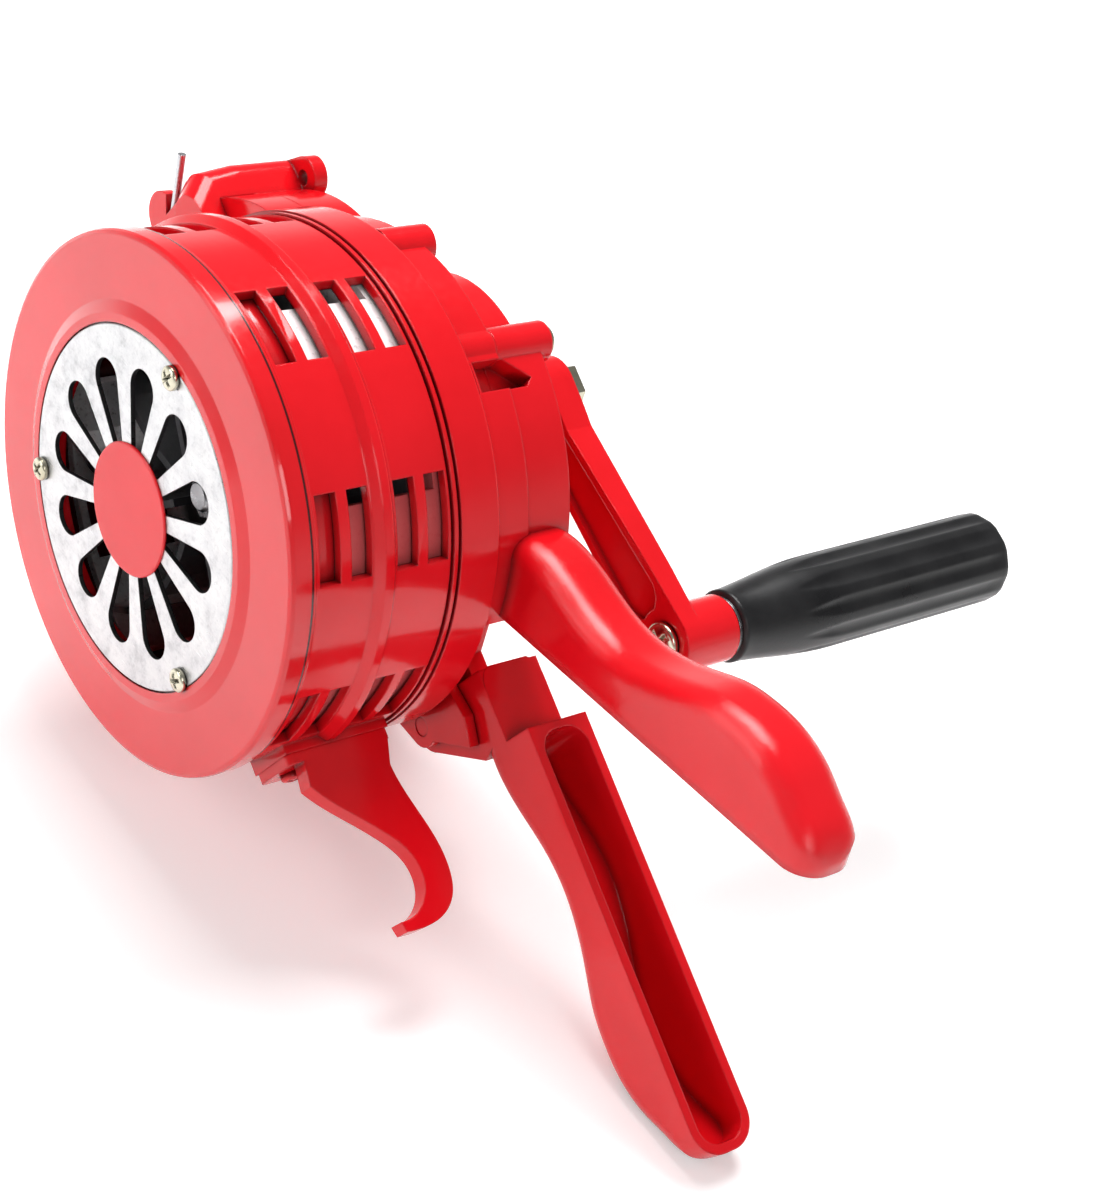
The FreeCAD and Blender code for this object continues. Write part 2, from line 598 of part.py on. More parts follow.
def pocket_backing():
    """Solid behind the pocket, kept off the crank gear."""
    backing = wedge(POCKET_BEARING - 6.5, POCKET_BEARING + 6.5, CASE_R - 0.6, FLANGE_BACK_Y + 1.0, TRAY_BACK_Y)
    return backing.cut(cylinder(GEAR_CLEAR_R, 50.0, 90.0, CRANK_AT))


def tray_envelope():
    return above_relief(outline_round(0.0, FLANGE_BACK_Y, TRAY_BACK_Y, TRAY_BACK_Y))


def gear_case_front():
    body = tray_envelope()
    for centre, _ in case_screw_spots():
        body = body.fuse(cylinder(BOSS_R, FLANGE_BACK_Y, TRAY_BACK_Y, centre))
    body = body.fuse(cylinder(BOSS_R, FLANGE_BACK_Y, TRAY_BACK_Y + 3.4, flange_boss()))
    ear = plate(FRONT_EAR, FRONT_EAR_Y, LEG_FRONT_Y - EAR_GAP)
    body = body.fuse(ear).fuse(cylinder(FRONT_EAR_R, FRONT_EAR_Y, LEG_FRONT_Y - EAR_GAP, HINGE))
    hollow = above_relief(outline_round(-CASE_WALL, FLANGE_BACK_Y + TRAY_FLOOR, TRAY_BACK_Y + 1.0,
                                        TRAY_BACK_Y + 1.0), CASE_WALL)
    body = body.cut(hollow).fuse(pocket_backing()).cut(side_pocket())
    body = body.fuse(axle_boss(LARGE_AT, FLANGE_BACK_Y, ROTOR_MESH_Y - SLACK))
    body = body.cut(cylinder(BEARING_BOSS_R + FIT * 2, 40.0, 90.0))
    body = body.cut(cylinder(AXLE_R, FLANGE_BACK_Y + 1.0, 90.0, LARGE_AT))
    for centre, _ in case_screw_spots():
        body = body.cut(cylinder(M4_R, FLANGE_BACK_Y + 2.5, 100.0, centre))
    body = body.cut(cylinder(HINGE_PIN_R, 40.0, 100.0, HINGE))
    for centre in (SPRING_TOP, SPRING_LOW):
        body = body.cut(spring_pin_hole(centre))
    return body.removeSplitter()


def axle_boss(centre, y0, y1):
    return cylinder(AXLE_R + 2.6, y0, y1, centre)


def hinge_ear(y0, y1):
    """Ear under the case that carries one end of the hinge pin."""
    foot_z = RELIEF_POINT[1] + 8.0
    left, right = HINGE[0] - HINGE_R - 4.0, HINGE[0] + HINGE_R - 1.0
    web = plate([(left, foot_z), (right, foot_z), (right, HINGE[1]), (HINGE[0] - HINGE_R + 0.4, HINGE[1])],
                y0, y1)
    return web.fuse(cylinder(HINGE_R - 0.4, y0, y1, HINGE))


def cover_envelope():
    deep = cylinder(LOBE_R, TRAY_BACK_Y, LOBE_BACK_Y, LARGE_AT)
    crank_lobe = cylinder(CRANK_LOBE_R, TRAY_BACK_Y, SIDE_BACK_Y, CRANK_AT)
    side = cylinder(SIDE_R, TRAY_BACK_Y, SIDE_BACK_Y)
    side = side.common(wedge(SIDE_BEARINGS[0], 190.0, 150.0, 0.0, 150.0))
    low = cylinder(SIDE_R, TRAY_BACK_Y, SIDE_BACK_Y)
    low = low.common(wedge(188.0, 262.0, 150.0, 0.0, 150.0))
    saddle = cylinder(SADDLE_R, TRAY_BACK_Y, SADDLE_BACK_Y, SADDLE_AT)
    return above_relief(fuse_all([deep, crank_lobe, side, low, saddle]))


def cover_hollow():
    deep = cylinder(LOBE_R - CASE_WALL, TRAY_BACK_Y - 1.0, LOBE_BACK_Y - CASE_WALL, LARGE_AT)
    crank_lobe = cylinder(CRANK_LOBE_R - CASE_WALL, TRAY_BACK_Y - 1.0, SIDE_BACK_Y - CASE_WALL, CRANK_AT)
    saddle = cylinder(SADDLE_R - CASE_WALL, TRAY_BACK_Y - 1.0, SADDLE_BACK_Y - CASE_WALL, SADDLE_AT)
    return above_relief(fuse_all([deep, crank_lobe, saddle]), CASE_WALL)


def top_bar():
    """Round-topped bar on the shoulder of the case, with a ramped nose over the drum."""
    nose = 8.0
    side = [Vector(0, BAR_FRONT_Y + 1.0, BAR_NOSE_Z), Vector(0, BAR_FRONT_Y, BAR_TOP - 7.0),
            Vector(0, BAR_FRONT_Y + 0.6 * nose, BAR_TOP - 1.5), Vector(0, BAR_FRONT_Y + 2.0 * nose, BAR_TOP),
            Vector(0, BAR_BACK_Y, BAR_TOP), Vector(0, BAR_BACK_Y, BAR_FOOT_Z),
            Vector(0, TRAY_BACK_Y, BAR_FOOT_Z), Vector(0, TRAY_BACK_Y, BAR_NOSE_Z)]
    bar = Part.Face(Part.makePolygon(side + side[:1])).extrude(Vector(2.0 * BAR_HALF, 0, 0))
    bar.translate(Vector(BAR_X - BAR_HALF, 0, 0))
    long_edges = [edge for edge in bar.Edges
                  if abs(edge.BoundBox.XLength) < 0.01 and edge.BoundBox.ZMin > BAR_TOP - 8.0]
    bar = bar.makeFillet(BAR_ROUND, long_edges)
    ear = tapered_link(EAR_AT, EAR_R, (BAR_X, BAR_TOP - BAR_HALF), BAR_HALF, BAR_BACK_Y, BAR_BACK_Y + EAR_T)
    return bar.fuse(ear)


def ear_hole():
    return cylinder(EAR_HOLE_R, BAR_BACK_Y - 1.0, BAR_BACK_Y + EAR_T + 1.0, EAR_AT)


def gear_case_rear():
    body = cover_envelope()
    for centre, back in case_screw_spots():
        body = body.fuse(cylinder(BOSS_R, TRAY_BACK_Y, back, centre))
    body = body.fuse(cylinder(TUBE_R, TRAY_BACK_Y, TUBE_BACK_Y, CRANK_AT))
    body = body.fuse(top_bar().cut(tray_envelope()))
    body = body.fuse(hinge_ear(LEG_FRONT_Y + KNUCKLE_W + EAR_GAP, SIDE_BACK_Y))
    body = body.cut(cover_hollow()).cut(side_pocket())
    body = body.fuse(axle_boss(IDLER_AT, LARGE_MESH_Y + FACE + 2 * SLACK, LOBE_BACK_Y - 1.0))
    body = body.fuse(axle_boss(LARGE_AT, LARGE_MESH_Y + FACE + 2 * SLACK, LOBE_BACK_Y - 1.0))
    for centre in (IDLER_AT, LARGE_AT):
        body = body.cut(cylinder(AXLE_R, COVER_CUT_Y, LOBE_BACK_Y - 2.0, centre))
    body = body.cut(cylinder(BUSH_R, COVER_CUT_Y, TUBE_BACK_Y + 1.0, CRANK_AT))
    for centre, back in case_screw_spots():
        body = body.cut(cylinder(M4_R, COVER_CUT_Y, back + 1.0, centre))
    for centre in fixed_screw_spots():
        body = body.cut(cylinder(M3_R, TRAY_BACK_Y + 2.0, SIDE_BACK_Y + 1.0, centre))
    body = body.cut(cylinder(HINGE_PIN_R, COVER_CUT_Y, SIDE_BACK_Y + 2.0, HINGE))
    return body.cut(ear_hole()).removeSplitter()


def case_screws():
    screws = []
    for centre, back in case_screw_spots():
        length = back - FLANGE_BACK_Y - 3.0
        screws.append(pan_screw(M4_R, M4_HEAD_R, M4_HEAD_H, length, back + M4_HEAD_H, centre, -1))
    return screws


# ---------------------------------------------------------------- crank
GRIP_AT = spot(ARM_BEARING, ARM_LENGTH, CRANK_AT)


def crank_bush():
    body = turned([(CRANK_SHAFT_R + FIT, BUSH_FRONT_Y), (BUSH_R + 2.0, BUSH_FRONT_Y),
                   (BUSH_R + 2.0, BUSH_FRONT_Y + 1.5), (BUSH_R, BUSH_FRONT_Y + 1.5),
                   (BUSH_R, TUBE_BACK_Y), (CRANK_SHAFT_R + FIT, TUBE_BACK_Y)], CRANK_AT)
    return body


def crank_shaft():
    front = CRANK_MESH_Y
    back = ARM_BACK_Y + NUT_H + 1.0
    shoulder = CRANK_SHAFT_R + 2.0
    return turned([(0.0, front), (CRANK_SHAFT_R, front), (CRANK_SHAFT_R, TUBE_BACK_Y + SLACK),
                   (shoulder, TUBE_BACK_Y + SLACK), (shoulder, ARM_FRONT_Y),
                   (SHAFT_R, ARM_FRONT_Y), (SHAFT_R, back - 0.8), (SHAFT_R - 0.8, back),
                   (0.0, back)], CRANK_AT)


def crank_arm():
    waist_a = spot(ARM_BEARING, 0.2 * ARM_LENGTH, CRANK_AT)
    waist_b = spot(ARM_BEARING, 0.8 * ARM_LENGTH, CRANK_AT)
    deep = (ARM_FRONT_Y, ARM_BACK_Y)
    arm = fuse_all([
        tapered_link(CRANK_AT, ARM_HUB_R, waist_a, ARM_WAIST, *deep),
        tapered_link(waist_a, ARM_WAIST, waist_b, ARM_WAIST_LOW, *deep),
        tapered_link(waist_b, ARM_WAIST_LOW, GRIP_AT, ARM_TIP_R, *deep)])
    # the back face falls away towards the grip
    far = 120.0
    slope = (ARM_T_HUB - ARM_T_TIP) / (ARM_LENGTH - ARM_TIP_R - ARM_HUB_R)
    start = ARM_HUB_R
    drop = [Vector(-40.0, ARM_BACK_Y, start), Vector(-40.0, ARM_BACK_Y - slope * (far - start), far),
            Vector(-40.0, ARM_BACK_Y + 20.0, far), Vector(-40.0, ARM_BACK_Y + 20.0, start)]
    tool = Part.Face(Part.makePolygon(drop + drop[:1])).extrude(Vector(80.0, 0, 0))
    tool.rotate(ORIGIN, AXIS, ARM_BEARING)
    tool.translate(Vector(CRANK_AT[0], 0, CRANK_AT[1]))
    arm = arm.cut(tool)
    # sunk panel in the front face
    inner_a = spot(ARM_BEARING, ARM_HUB_R + 5.5, CRANK_AT)
    inner_b = spot(ARM_BEARING, ARM_LENGTH - ARM_TIP_R - 5.5, CRANK_AT)
    sunk = tapered_link(inner_a, ARM_WAIST - ARM_RIM, inner_b, ARM_WAIST_LOW - ARM_RIM,
                        ARM_FRONT_Y - 1.0, ARM_FRONT_Y + ARM_RECESS)
    arm = arm.cut(sunk)
    boss_back = GRIP_FRONT_Y - 1.0
    arm = arm.fuse(turned([(0.0, ARM_FRONT_Y), (ARM_TIP_R, ARM_FRONT_Y), (ARM_TIP_R, boss_back - 0.8),
                           (ARM_TIP_R - 0.8, boss_back), (0.0, boss_back)], GRIP_AT))
    arm = arm.cut(cylinder(SHAFT_R, 90.0, 150.0, CRANK_AT))
    return arm.cut(cylinder(GRIP_PIN_R, 90.0, 150.0, GRIP_AT)).removeSplitter()


def grip_profile_radius(share):
    """Radius of the grip at a share of its length: neck, swell, long straight body."""
    if share < 0.06:
        return GRIP_NECK_R
    if share < 0.46:
        ease = (share - 0.06) / 0.40
        return GRIP_NECK_R + (GRIP_R - GRIP_NECK_R) * (0.5 - 0.5 * math.cos(math.pi * ease))
    return GRIP_R


def crank_grip():
    y0, y1 = GRIP_FRONT_Y, GRIP_FRONT_Y + GRIP_LEN
    bore_back = y1 - 10.0
    profile = [(GRIP_PIN_R + FIT, y0)]
    profile += [(grip_profile_radius(share), y0 + GRIP_LEN * share) for share in GRIP_SHARES]
    profile += [(GRIP_R - 1.0, y1 - 1.0), (GRIP_R - 3.0, y1), (0.0, y1), (0.0, bore_back),
                (GRIP_PIN_R + FIT, bore_back)]
    grip = turned(profile)
    start_y = y0 + FLUTE_START * GRIP_LEN
    for k in range(FLUTES):
        x, z = spot(360.0 * k / FLUTES, GRIP_R + FLUTE_R - FLUTE_DEPTH)
        flute = Part.makeCylinder(FLUTE_R, GRIP_LEN, Vector(x, start_y, z), AXIS)
        grip = grip.cut(flute)
    grip.translate(Vector(GRIP_AT[0], 0, GRIP_AT[1]))
    return grip


def grip_pin():
    tip = GRIP_FRONT_Y + GRIP_LEN - 12.0
    return pan_screw(GRIP_PIN_R, PIN_HEAD_R, PIN_HEAD_H, tip - ARM_FRONT_Y, ARM_FRONT_Y - PIN_HEAD_H,
                     GRIP_AT)


# ---------------------------------------------------------------- grip halves
def leg_side(drop):
    """Closed profile (outward, along) of a half grip, with its outer curve lowered by 'drop'."""
    below = -12.0
    first_along, first_height = LEG_CURVE[0]
    outer = [Vector(first_height - drop - 2.6, 0, first_along - 3.0)]
    outer += [Vector(height - drop, 0, along) for along, height in LEG_CURVE]
    curve = Part.BSplineCurve()
    curve.interpolate(outer)
    corners = [outer[-1], Vector(below, 0, outer[-1].z), Vector(below, 0, outer[0].z), outer[0]]
    edges = [curve.toShape()]
    edges += [Part.makeLine(a, b) for a, b in zip(corners, corners[1:])]
    return Part.Face(Part.Wire(edges))


def half_grip():
    """Half grip with its tip at the origin, length along +Z, outer curve towards +X."""
    blank = leg_side(0.0).extrude(Vector(0, LEG_W, 0))
    rims = [edge for edge in blank.Edges
            if edge.BoundBox.YLength < 0.01 and edge.BoundBox.XLength > 8.0 and edge.BoundBox.ZLength > 60.0]
    blank = blank.makeFillet(LEG_ROUND, rims)
    outline = rounded_slot(LEG_W, LEG_TIP_ROUND, 0.0, LEG_LENGTH + 1.0, 0.0, True)
    slot_w = LEG_W - 2.0 * LEG_WALL
    slot = rounded_slot(slot_w, LEG_TIP_ROUND - LEG_WALL, LEG_WALL, CHANNEL_END, LEG_WALL, False)
    hollow = leg_side(LEG_WALL).extrude(Vector(0, LEG_W, 0)).common(slot)
    return blank.common(outline).cut(hollow)


def rounded_slot(width, corner, low, high, side, tip_only):
    """Upright prism across the half, from x = 0 outwards, with rounded corners at its ends."""
    start = 0.0 if tip_only else -1.0
    block = box(start, 60.0, side, side + width, low, high)
    ends = [edge for edge in block.Edges if edge.BoundBox.XLength > 50.0]
    if tip_only:
        ends = [edge for edge in ends if edge.BoundBox.ZMax < low + 1.0]
    return block.makeFillet(corner, ends)


def stand_leg():
    leg = half_grip()
    # step in the joint face above the channel
    leg = leg.cut(box(-1.0, NOTCH, -1.0, LEG_W + 1.0, CHANNEL_END + 2.0, LEG_LENGTH + 1.0))
    leg.rotate(ORIGIN, Vector(0, 0, 1), 180.0)
    leg.translate(Vector(LEG_TIP[0], LEG_FRONT_Y + LEG_W, LEG_TIP[1]))
    top_z = LEG_TIP[1] + LEG_LENGTH - 0.5
    shoulder_z = LEG_TIP[1] + CHANNEL_END
    left_x = LEG_TIP[0] - LEG_CURVE[-4][1]
    right_x = LEG_TIP[0] - NOTCH - 0.1
    block = plate([(0.8, top_z), (right_x, top_z), (right_x, shoulder_z + 2.5), (left_x + 2.0, shoulder_z + 2.5)],
                  LEG_FRONT_Y, LEG_FRONT_Y + LEG_W)
    lug = plate([(2.0, top_z), (HINGE[0], HINGE[1] + HINGE_R),
                 (HINGE[0] - HINGE_R * 0.5, HINGE[1] - HINGE_R * 0.86), (left_x + 0.4, shoulder_z + 0.6),
                 (left_x + 6.0, shoulder_z + 3.0)],
                LEG_FRONT_Y, LEG_FRONT_Y + KNUCKLE_W)
    knuckle = cylinder(HINGE_R, LEG_FRONT_Y, LEG_FRONT_Y + KNUCKLE_W, HINGE)
    leg = fuse_all([leg, block, lug, knuckle])
    return leg.cut(cylinder(HINGE_PIN_R + FIT, 50.0, 100.0, HINGE)).removeSplitter()


def fixed_place(shape):
    """Move a shape from the half grip's own axes to the fixed half's place."""
    shape.translate(Vector(0, LEG_FRONT_Y, 0))
    shape.rotate(ORIGIN, AXIS, -FIXED_DEG)
    shape.translate(Vector(FIXED_TIP[0], 0, FIXED_TIP[1]))
    return shape


def fixed_screw_spots():
    turn = math.radians(FIXED_DEG)
    spots = []
    for along, height in FIXED_SCREWS:
        spots.append((FIXED_TIP[0] + height * math.cos(turn) - along * math.sin(turn),
                      FIXED_TIP[1] + height * math.sin(turn) + along * math.cos(turn)))
    return spots


def fixed_half():
    leg = fixed_place(half_grip())
    leg = leg.cut(tray_envelope()).cut(cover_envelope())
    tab = plate(FIXED_TAB, SIDE_BACK_Y - LEG_FRONT_Y, SIDE_BACK_Y - LEG_FRONT_Y + FIXED_TAB_T)
    leg = leg.fuse(fixed_place(tab))
    for centre in fixed_screw_spots():
        leg = leg.cut(cylinder(M3_R + FIT, 60.0, 100.0, centre))
    return leg.removeSplitter()


def fixed_screws():
    back = SIDE_BACK_Y + FIXED_TAB_T + M3_HEAD_H
    return [pan_screw(M3_R, M3_HEAD_R, M3_HEAD_H, 8.0, back, centre, -1) for centre in fixed_screw_spots()]


# ---------------------------------------------------------------- hinge, hook, spring
def leg_pin():
    y0, y1 = FRONT_EAR_Y + 0.2, SIDE_BACK_Y + 2.6
    return turned([(0.0, y0), (HINGE_PIN_R, y0), (HINGE_PIN_R, SIDE_BACK_Y),
                   (HINGE_PIN_R + 2.0, SIDE_BACK_Y), (HINGE_PIN_R + 2.0, y1 - 1.2),
                   (HINGE_PIN_R + 0.6, y1), (0.0, y1)], HINGE)


def hook_screw_spots():
    """(x, y) of the two screws through the hook's base."""
    return HOOK_SCREWS


def upright(radius, place, z0, z1):
    return Part.makeCylinder(radius, z1 - z0, Vector(place[0], place[1], z0), Vector(0, 0, 1))


def hook_foot():
    base_top = -PAD_BOTTOM
    base_low = base_top - HOOK_BASE_T
    top = [Vector(0, HOOK_BASE_Y[0] + 4.0, base_low + 0.5), Vector(0, HOOK_BASE_Y[1] - 1.0, base_low + 0.5)]
    front = Part.BSplineCurve()
    front.interpolate([Vector(0, y, z) for y, z in HOOK_FRONT])
    rear = Part.BSplineCurve()
    rear.interpolate([Vector(0, y, z) for y, z in HOOK_REAR])
    first, last = Vector(0, *HOOK_FRONT[0]), Vector(0, *HOOK_REAR[-1])
    edges = [Part.makeLine(top[0], first), front.toShape(),
             Part.makeLine(Vector(0, *HOOK_FRONT[-1]), Vector(0, *HOOK_REAR[0])), rear.toShape(),
             Part.makeLine(last, top[1]), Part.makeLine(top[1], top[0])]
    blade = Part.Face(Part.Wire(edges)).extrude(Vector(HOOK_T, 0, 0))
    blade.translate(Vector(-HOOK_T / 2.0, 0, 0))
    base = box(*PAD_X, HOOK_BASE_Y[0], HOOK_BASE_Y[1], base_low, base_top)
    corners = [edge for edge in base.Edges if edge.BoundBox.ZLength > 0.9 * HOOK_BASE_T]
    base = base.makeFillet(2.0, corners)
    foot = blade.fuse(base)
    for place in hook_screw_spots():
        foot = foot.cut(upright(M3_R + FIT, place, -100.0, -40.0))
    return foot.removeSplitter()


def hook_screws():
    screws = []
    for place in hook_screw_spots():
        top = -PAD_BOTTOM - HOOK_BASE_T
        screw = pan_screw(M3_R, M3_HEAD_R, M3_HEAD_H, HOOK_BASE_T + 3.2, 0.0, (0.0, 0.0))
        screw.rotate(ORIGIN, Vector(1, 0, 0), 90.0)
        screw.translate(Vector(place[0], place[1], top - M3_HEAD_H))
        screws.append(screw)
    return screws


def spring_pin_hole(centre):
    return cylinder(SPRING_PIN_R, 40.0, FLANGE_BACK_Y + TRAY_FLOOR - 0.3, centre)


def bar_tab():
    """Half-round tab beside the bar, on a short neck that holds the steel pin."""
    y0, y1 = TAB_Y, TAB_Y + TAB_T
    side = BAR_X - BAR_HALF
    tab = cylinder(TAB_R, y0, y1, TAB_AT)
    flat = box(0.35 * TAB_R, 3.0 * TAB_R, y0 - 1.0, y1 + 1.0, -3.0 * TAB_R, 3.0 * TAB_R)
    flat.rotate(ORIGIN, AXIS, TAB_TURN)
    flat.translate(Vector(TAB_AT[0], 0, TAB_AT[1]))
    neck = box(TAB_AT[0], side, y0, y1, TAB_AT[1] - TAB_R, TAB_AT[1] - 1.0)
    return tab.cut(flat).fuse(neck).removeSplitter().cut(bar_pin())


def bar_pin():
    (x0, z0), (x1, z1) = BAR_PIN_ENDS
    length = math.hypot(x1 - x0, z1 - z0)
    return Part.makeCylinder(BAR_PIN_R, length, Vector(x0, TAB_Y + TAB_T / 2.0, z0),
                             Vector(x1 - x0, 0, z1 - z0))


def spring_arc():
    top = Vector(SPRING_TOP[0], SPRING_Y, SPRING_TOP[1])
    left = Vector(SPRING_LEFT[0], SPRING_Y, SPRING_LEFT[1])
    low = Vector(SPRING_LOW[0], SPRING_Y, SPRING_LOW[1])
    return Part.Arc(top, left, low).toShape()


def spring_handle():
    """Bar of the coil's outside diameter, between the two ferrules."""
    arc = spring_arc()
    first, last = arc.FirstParameter, arc.LastParameter
    trim = (last - first) / arc.Length * FERRULE_LEN
    piece = arc.Curve.toShape(first + trim, last - trim)
    start = piece.valueAt(piece.FirstParameter)
    along = piece.tangentAt(piece.FirstParameter)
    across = along.cross(AXIS)
    corners = []
    for k in range(SPRING_SIDES):
        turn = 2.0 * math.pi * (k + 0.5) / SPRING_SIDES
        corners.append(start + AXIS * (SPRING_R * math.cos(turn)) + across * (SPRING_R * math.sin(turn)))
    bar = Part.Wire([piece]).makePipe(Part.Face(Part.makePolygon(corners + corners[:1])))
    for end in spring_ends():
        bar = bar.cut(end)
    return bar


def ferrule(at, along):
    """Straight ferrule that holds one end of the coil, reaching past its pin."""
    along = Vector(along).normalize()
    start = at - along * 3.0
    return Part.makeCylinder(FERRULE_R, FERRULE_LEN + 3.0, start, along)


def spring_ends():
    arc = spring_arc()
    trim = (arc.LastParameter - arc.FirstParameter) / arc.Length * FERRULE_LEN
    ends = []
    for place, at, inner in ((SPRING_TOP, arc.FirstParameter, trim), (SPRING_LOW, arc.LastParameter, -trim)):
        here = arc.valueAt(at)
        end = ferrule(here, arc.valueAt(at + inner) - here)
        ends.append(end.cut(spring_pin_hole(place)))
    return ends


def spring_pins():
    y0 = SPRING_Y - FERRULE_R
    pins = []
    for place in (SPRING_TOP, SPRING_LOW):
        pins.append(turned([(0.0, y0 - 1.4), (0.7 * SPRING_PIN_HEAD_R, y0 - 1.4), (SPRING_PIN_HEAD_R, y0 - 0.4),
                            (SPRING_PIN_HEAD_R, y0), (SPRING_PIN_R, y0),
                            (SPRING_PIN_R, FLANGE_BACK_Y + TRAY_FLOOR - 0.3),
                            (0.0, FLANGE_BACK_Y + TRAY_FLOOR - 0.3)], place))
    return pins


# ---------------------------------------------------------------- all sub-parts
def build_nodes():
    node("front_cover", front_cover())
    node("grille_plate", grille_plate())
    node("centre_disc", centre_disc())
    node("grille_screws", grille_screws())
    node("drum_shell", drum_shell())
    node("rotor", rotor())
    node("rotor_shaft", rotor_shaft())
    node("rotor_nut", hex_nut(NUT_R, HUB_FRONT_Y - NUT_H, HUB_FRONT_Y, SHAFT_R, (0.0, 0.0)))
    node("rotor_bearing_front", rotor_bearing(BEARING_Y))
    node("rotor_bearing_rear", rotor_bearing(SECOND_BEARING_Y))
    node("back_plate", back_plate())
    node("rotor_pinion", rotor_pinion())
    node("large_gear", large_gear())
    node("large_gear_axle", cylinder(AXLE_R, FLANGE_BACK_Y + 1.0, LOBE_BACK_Y - 2.0, LARGE_AT))
    node("idler_gear", idler_gear())
    node("idler_axle", idler_axle())
    node("crank_gear", crank_gear())
    node("crank_shaft", crank_shaft())
    node("crank_bush", crank_bush())
    node("gear_case_front", gear_case_front())
    node("gear_case_rear", gear_case_rear())
    node("case_screws", case_screws())
    node("crank_arm", crank_arm())
    node("crank_nut", hex_nut(NUT_R + 0.8, ARM_BACK_Y, ARM_BACK_Y + NUT_H, SHAFT_R, CRANK_AT))
    node("grip_pin", grip_pin())
    node("grip_washer", ring(ARM_TIP_R - 0.6, GRIP_PIN_R + FIT, GRIP_FRONT_Y - 1.0, GRIP_FRONT_Y - 0.2,
                             GRIP_AT))
    node("crank_grip", crank_grip())
    node("grip_half_fixed", fixed_half())
    node("stand_leg", stand_leg())
    node("grip_half_screws", fixed_screws())
    node("leg_pin", leg_pin())
    node("hook_foot", hook_foot())
    node("hook_screws", hook_screws())
    node("bar_pin", bar_pin())
    node("bar_tab", bar_tab())
    node("spring_handle", spring_handle())
    node("spring_ends", spring_ends())
    node("spring_pins", spring_pins())


def lay_over():
    """Turn every sub-part into the lying position and stand the whole on z = 0."""
    bounds = None
    for solids in NODES.values():
        for solid in solids:
            solid.rotate(ORIGIN, AXIS, -LAY_DEG)
            if bounds is None:
                bounds = solid.BoundBox
            else:
                bounds.add(solid.BoundBox)
    shift = Vector(-bounds.Center.x, -bounds.Center.y, -bounds.ZMin)
    for solids in NODES.values():
        for solid in solids:
            solid.translate(shift)
    return shift


def main():
    os.makedirs("parts", exist_ok=True)
    build_nodes()
    shift = lay_over()
    print("shift", shift.x, shift.y, shift.z)
    for name, solids in NODES.items():
        shape = solids[0] if len(solids) == 1 else Part.makeCompound(solids)
        shape.exportStep("parts/" + name + ".step")
        for solid in solids:
            if not solid.isValid() or len(solid.Solids) != 1:
                print("check", name, solid.isValid(), len(solid.Solids))


main()
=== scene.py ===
import json
import math

import bpy
from mathutils import Euler, Matrix, Vector


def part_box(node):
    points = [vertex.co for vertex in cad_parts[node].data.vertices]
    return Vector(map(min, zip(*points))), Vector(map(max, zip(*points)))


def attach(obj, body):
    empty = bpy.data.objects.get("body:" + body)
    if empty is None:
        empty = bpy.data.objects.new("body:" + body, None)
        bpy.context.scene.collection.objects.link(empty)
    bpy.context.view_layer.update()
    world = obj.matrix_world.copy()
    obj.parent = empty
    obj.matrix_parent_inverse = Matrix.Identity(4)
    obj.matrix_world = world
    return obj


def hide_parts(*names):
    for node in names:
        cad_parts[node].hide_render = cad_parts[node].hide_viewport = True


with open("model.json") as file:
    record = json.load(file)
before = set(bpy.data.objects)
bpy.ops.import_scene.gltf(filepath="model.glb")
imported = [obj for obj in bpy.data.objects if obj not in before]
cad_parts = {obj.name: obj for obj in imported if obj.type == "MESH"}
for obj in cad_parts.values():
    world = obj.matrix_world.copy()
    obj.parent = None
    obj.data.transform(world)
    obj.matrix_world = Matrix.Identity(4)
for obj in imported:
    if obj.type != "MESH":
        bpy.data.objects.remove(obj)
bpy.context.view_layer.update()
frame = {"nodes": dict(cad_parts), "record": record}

NODES = frame["nodes"]
SLOT_OF = {part["node"]: part["material_slot"] for part in frame["record"]["subparts"]}
MM = 0.001                   # named sizes are in millimetres, unless a comment says metres
FULL_TURN = 2.0 * math.pi
QUARTER_TURN = 0.5 * math.pi

# ---------------------------------------------------------------- the siren's own axes
# Origin on the drum axis at the front rim, X right, Y back along the drum, Z away from the stand leg.
LAY_DEG = 58.4               # roll about the drum axis, as the siren lies on the floor
SEAT_RISE = 1.3              # the cover's raised seat stands this far in front of the rim

TURN = Matrix.Rotation(-math.radians(LAY_DEG), 3, "Y")
cover_low, cover_high = (Vector(corner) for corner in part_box("front_cover"))
ORIGIN = (cover_low + cover_high) / 2
ORIGIN.y = cover_low.y + SEAT_RISE * MM


def place(x, y, z):
    """Point of the siren's own axes, in millimetres, as a point of the scene."""
    return TURN @ (Vector((x, y, z)) * MM) + ORIGIN


def aim(x, y, z):
    """Direction of the siren's own axes as a direction of the scene."""
    return TURN @ Vector((x, y, z))


TO_RIGHT = aim(1, 0, 0)
TO_BACK = aim(0, 1, 0)
TO_FRONT = aim(0, -1, 0)
TO_CROWN = aim(0, 0, 1)
TO_LEG = aim(0, 0, -1)


def fade(value, start, end):
    """0 at the start, 1 at the end, straight in between and level outside."""
    return max(0.0, min(1.0, (value - start) / (end - start)))


# ---------------------------------------------------------------- camera
EYE = (468.764, -267.629, -155.096)      # place and turn in the siren's own axes
EYE_TURN_DEG = (101.1419, 21.8446, 55.6389)
SENSOR_WIDTH = 36.0
LENS = 76.67
CLIP_METRES = (0.01, 20.0)


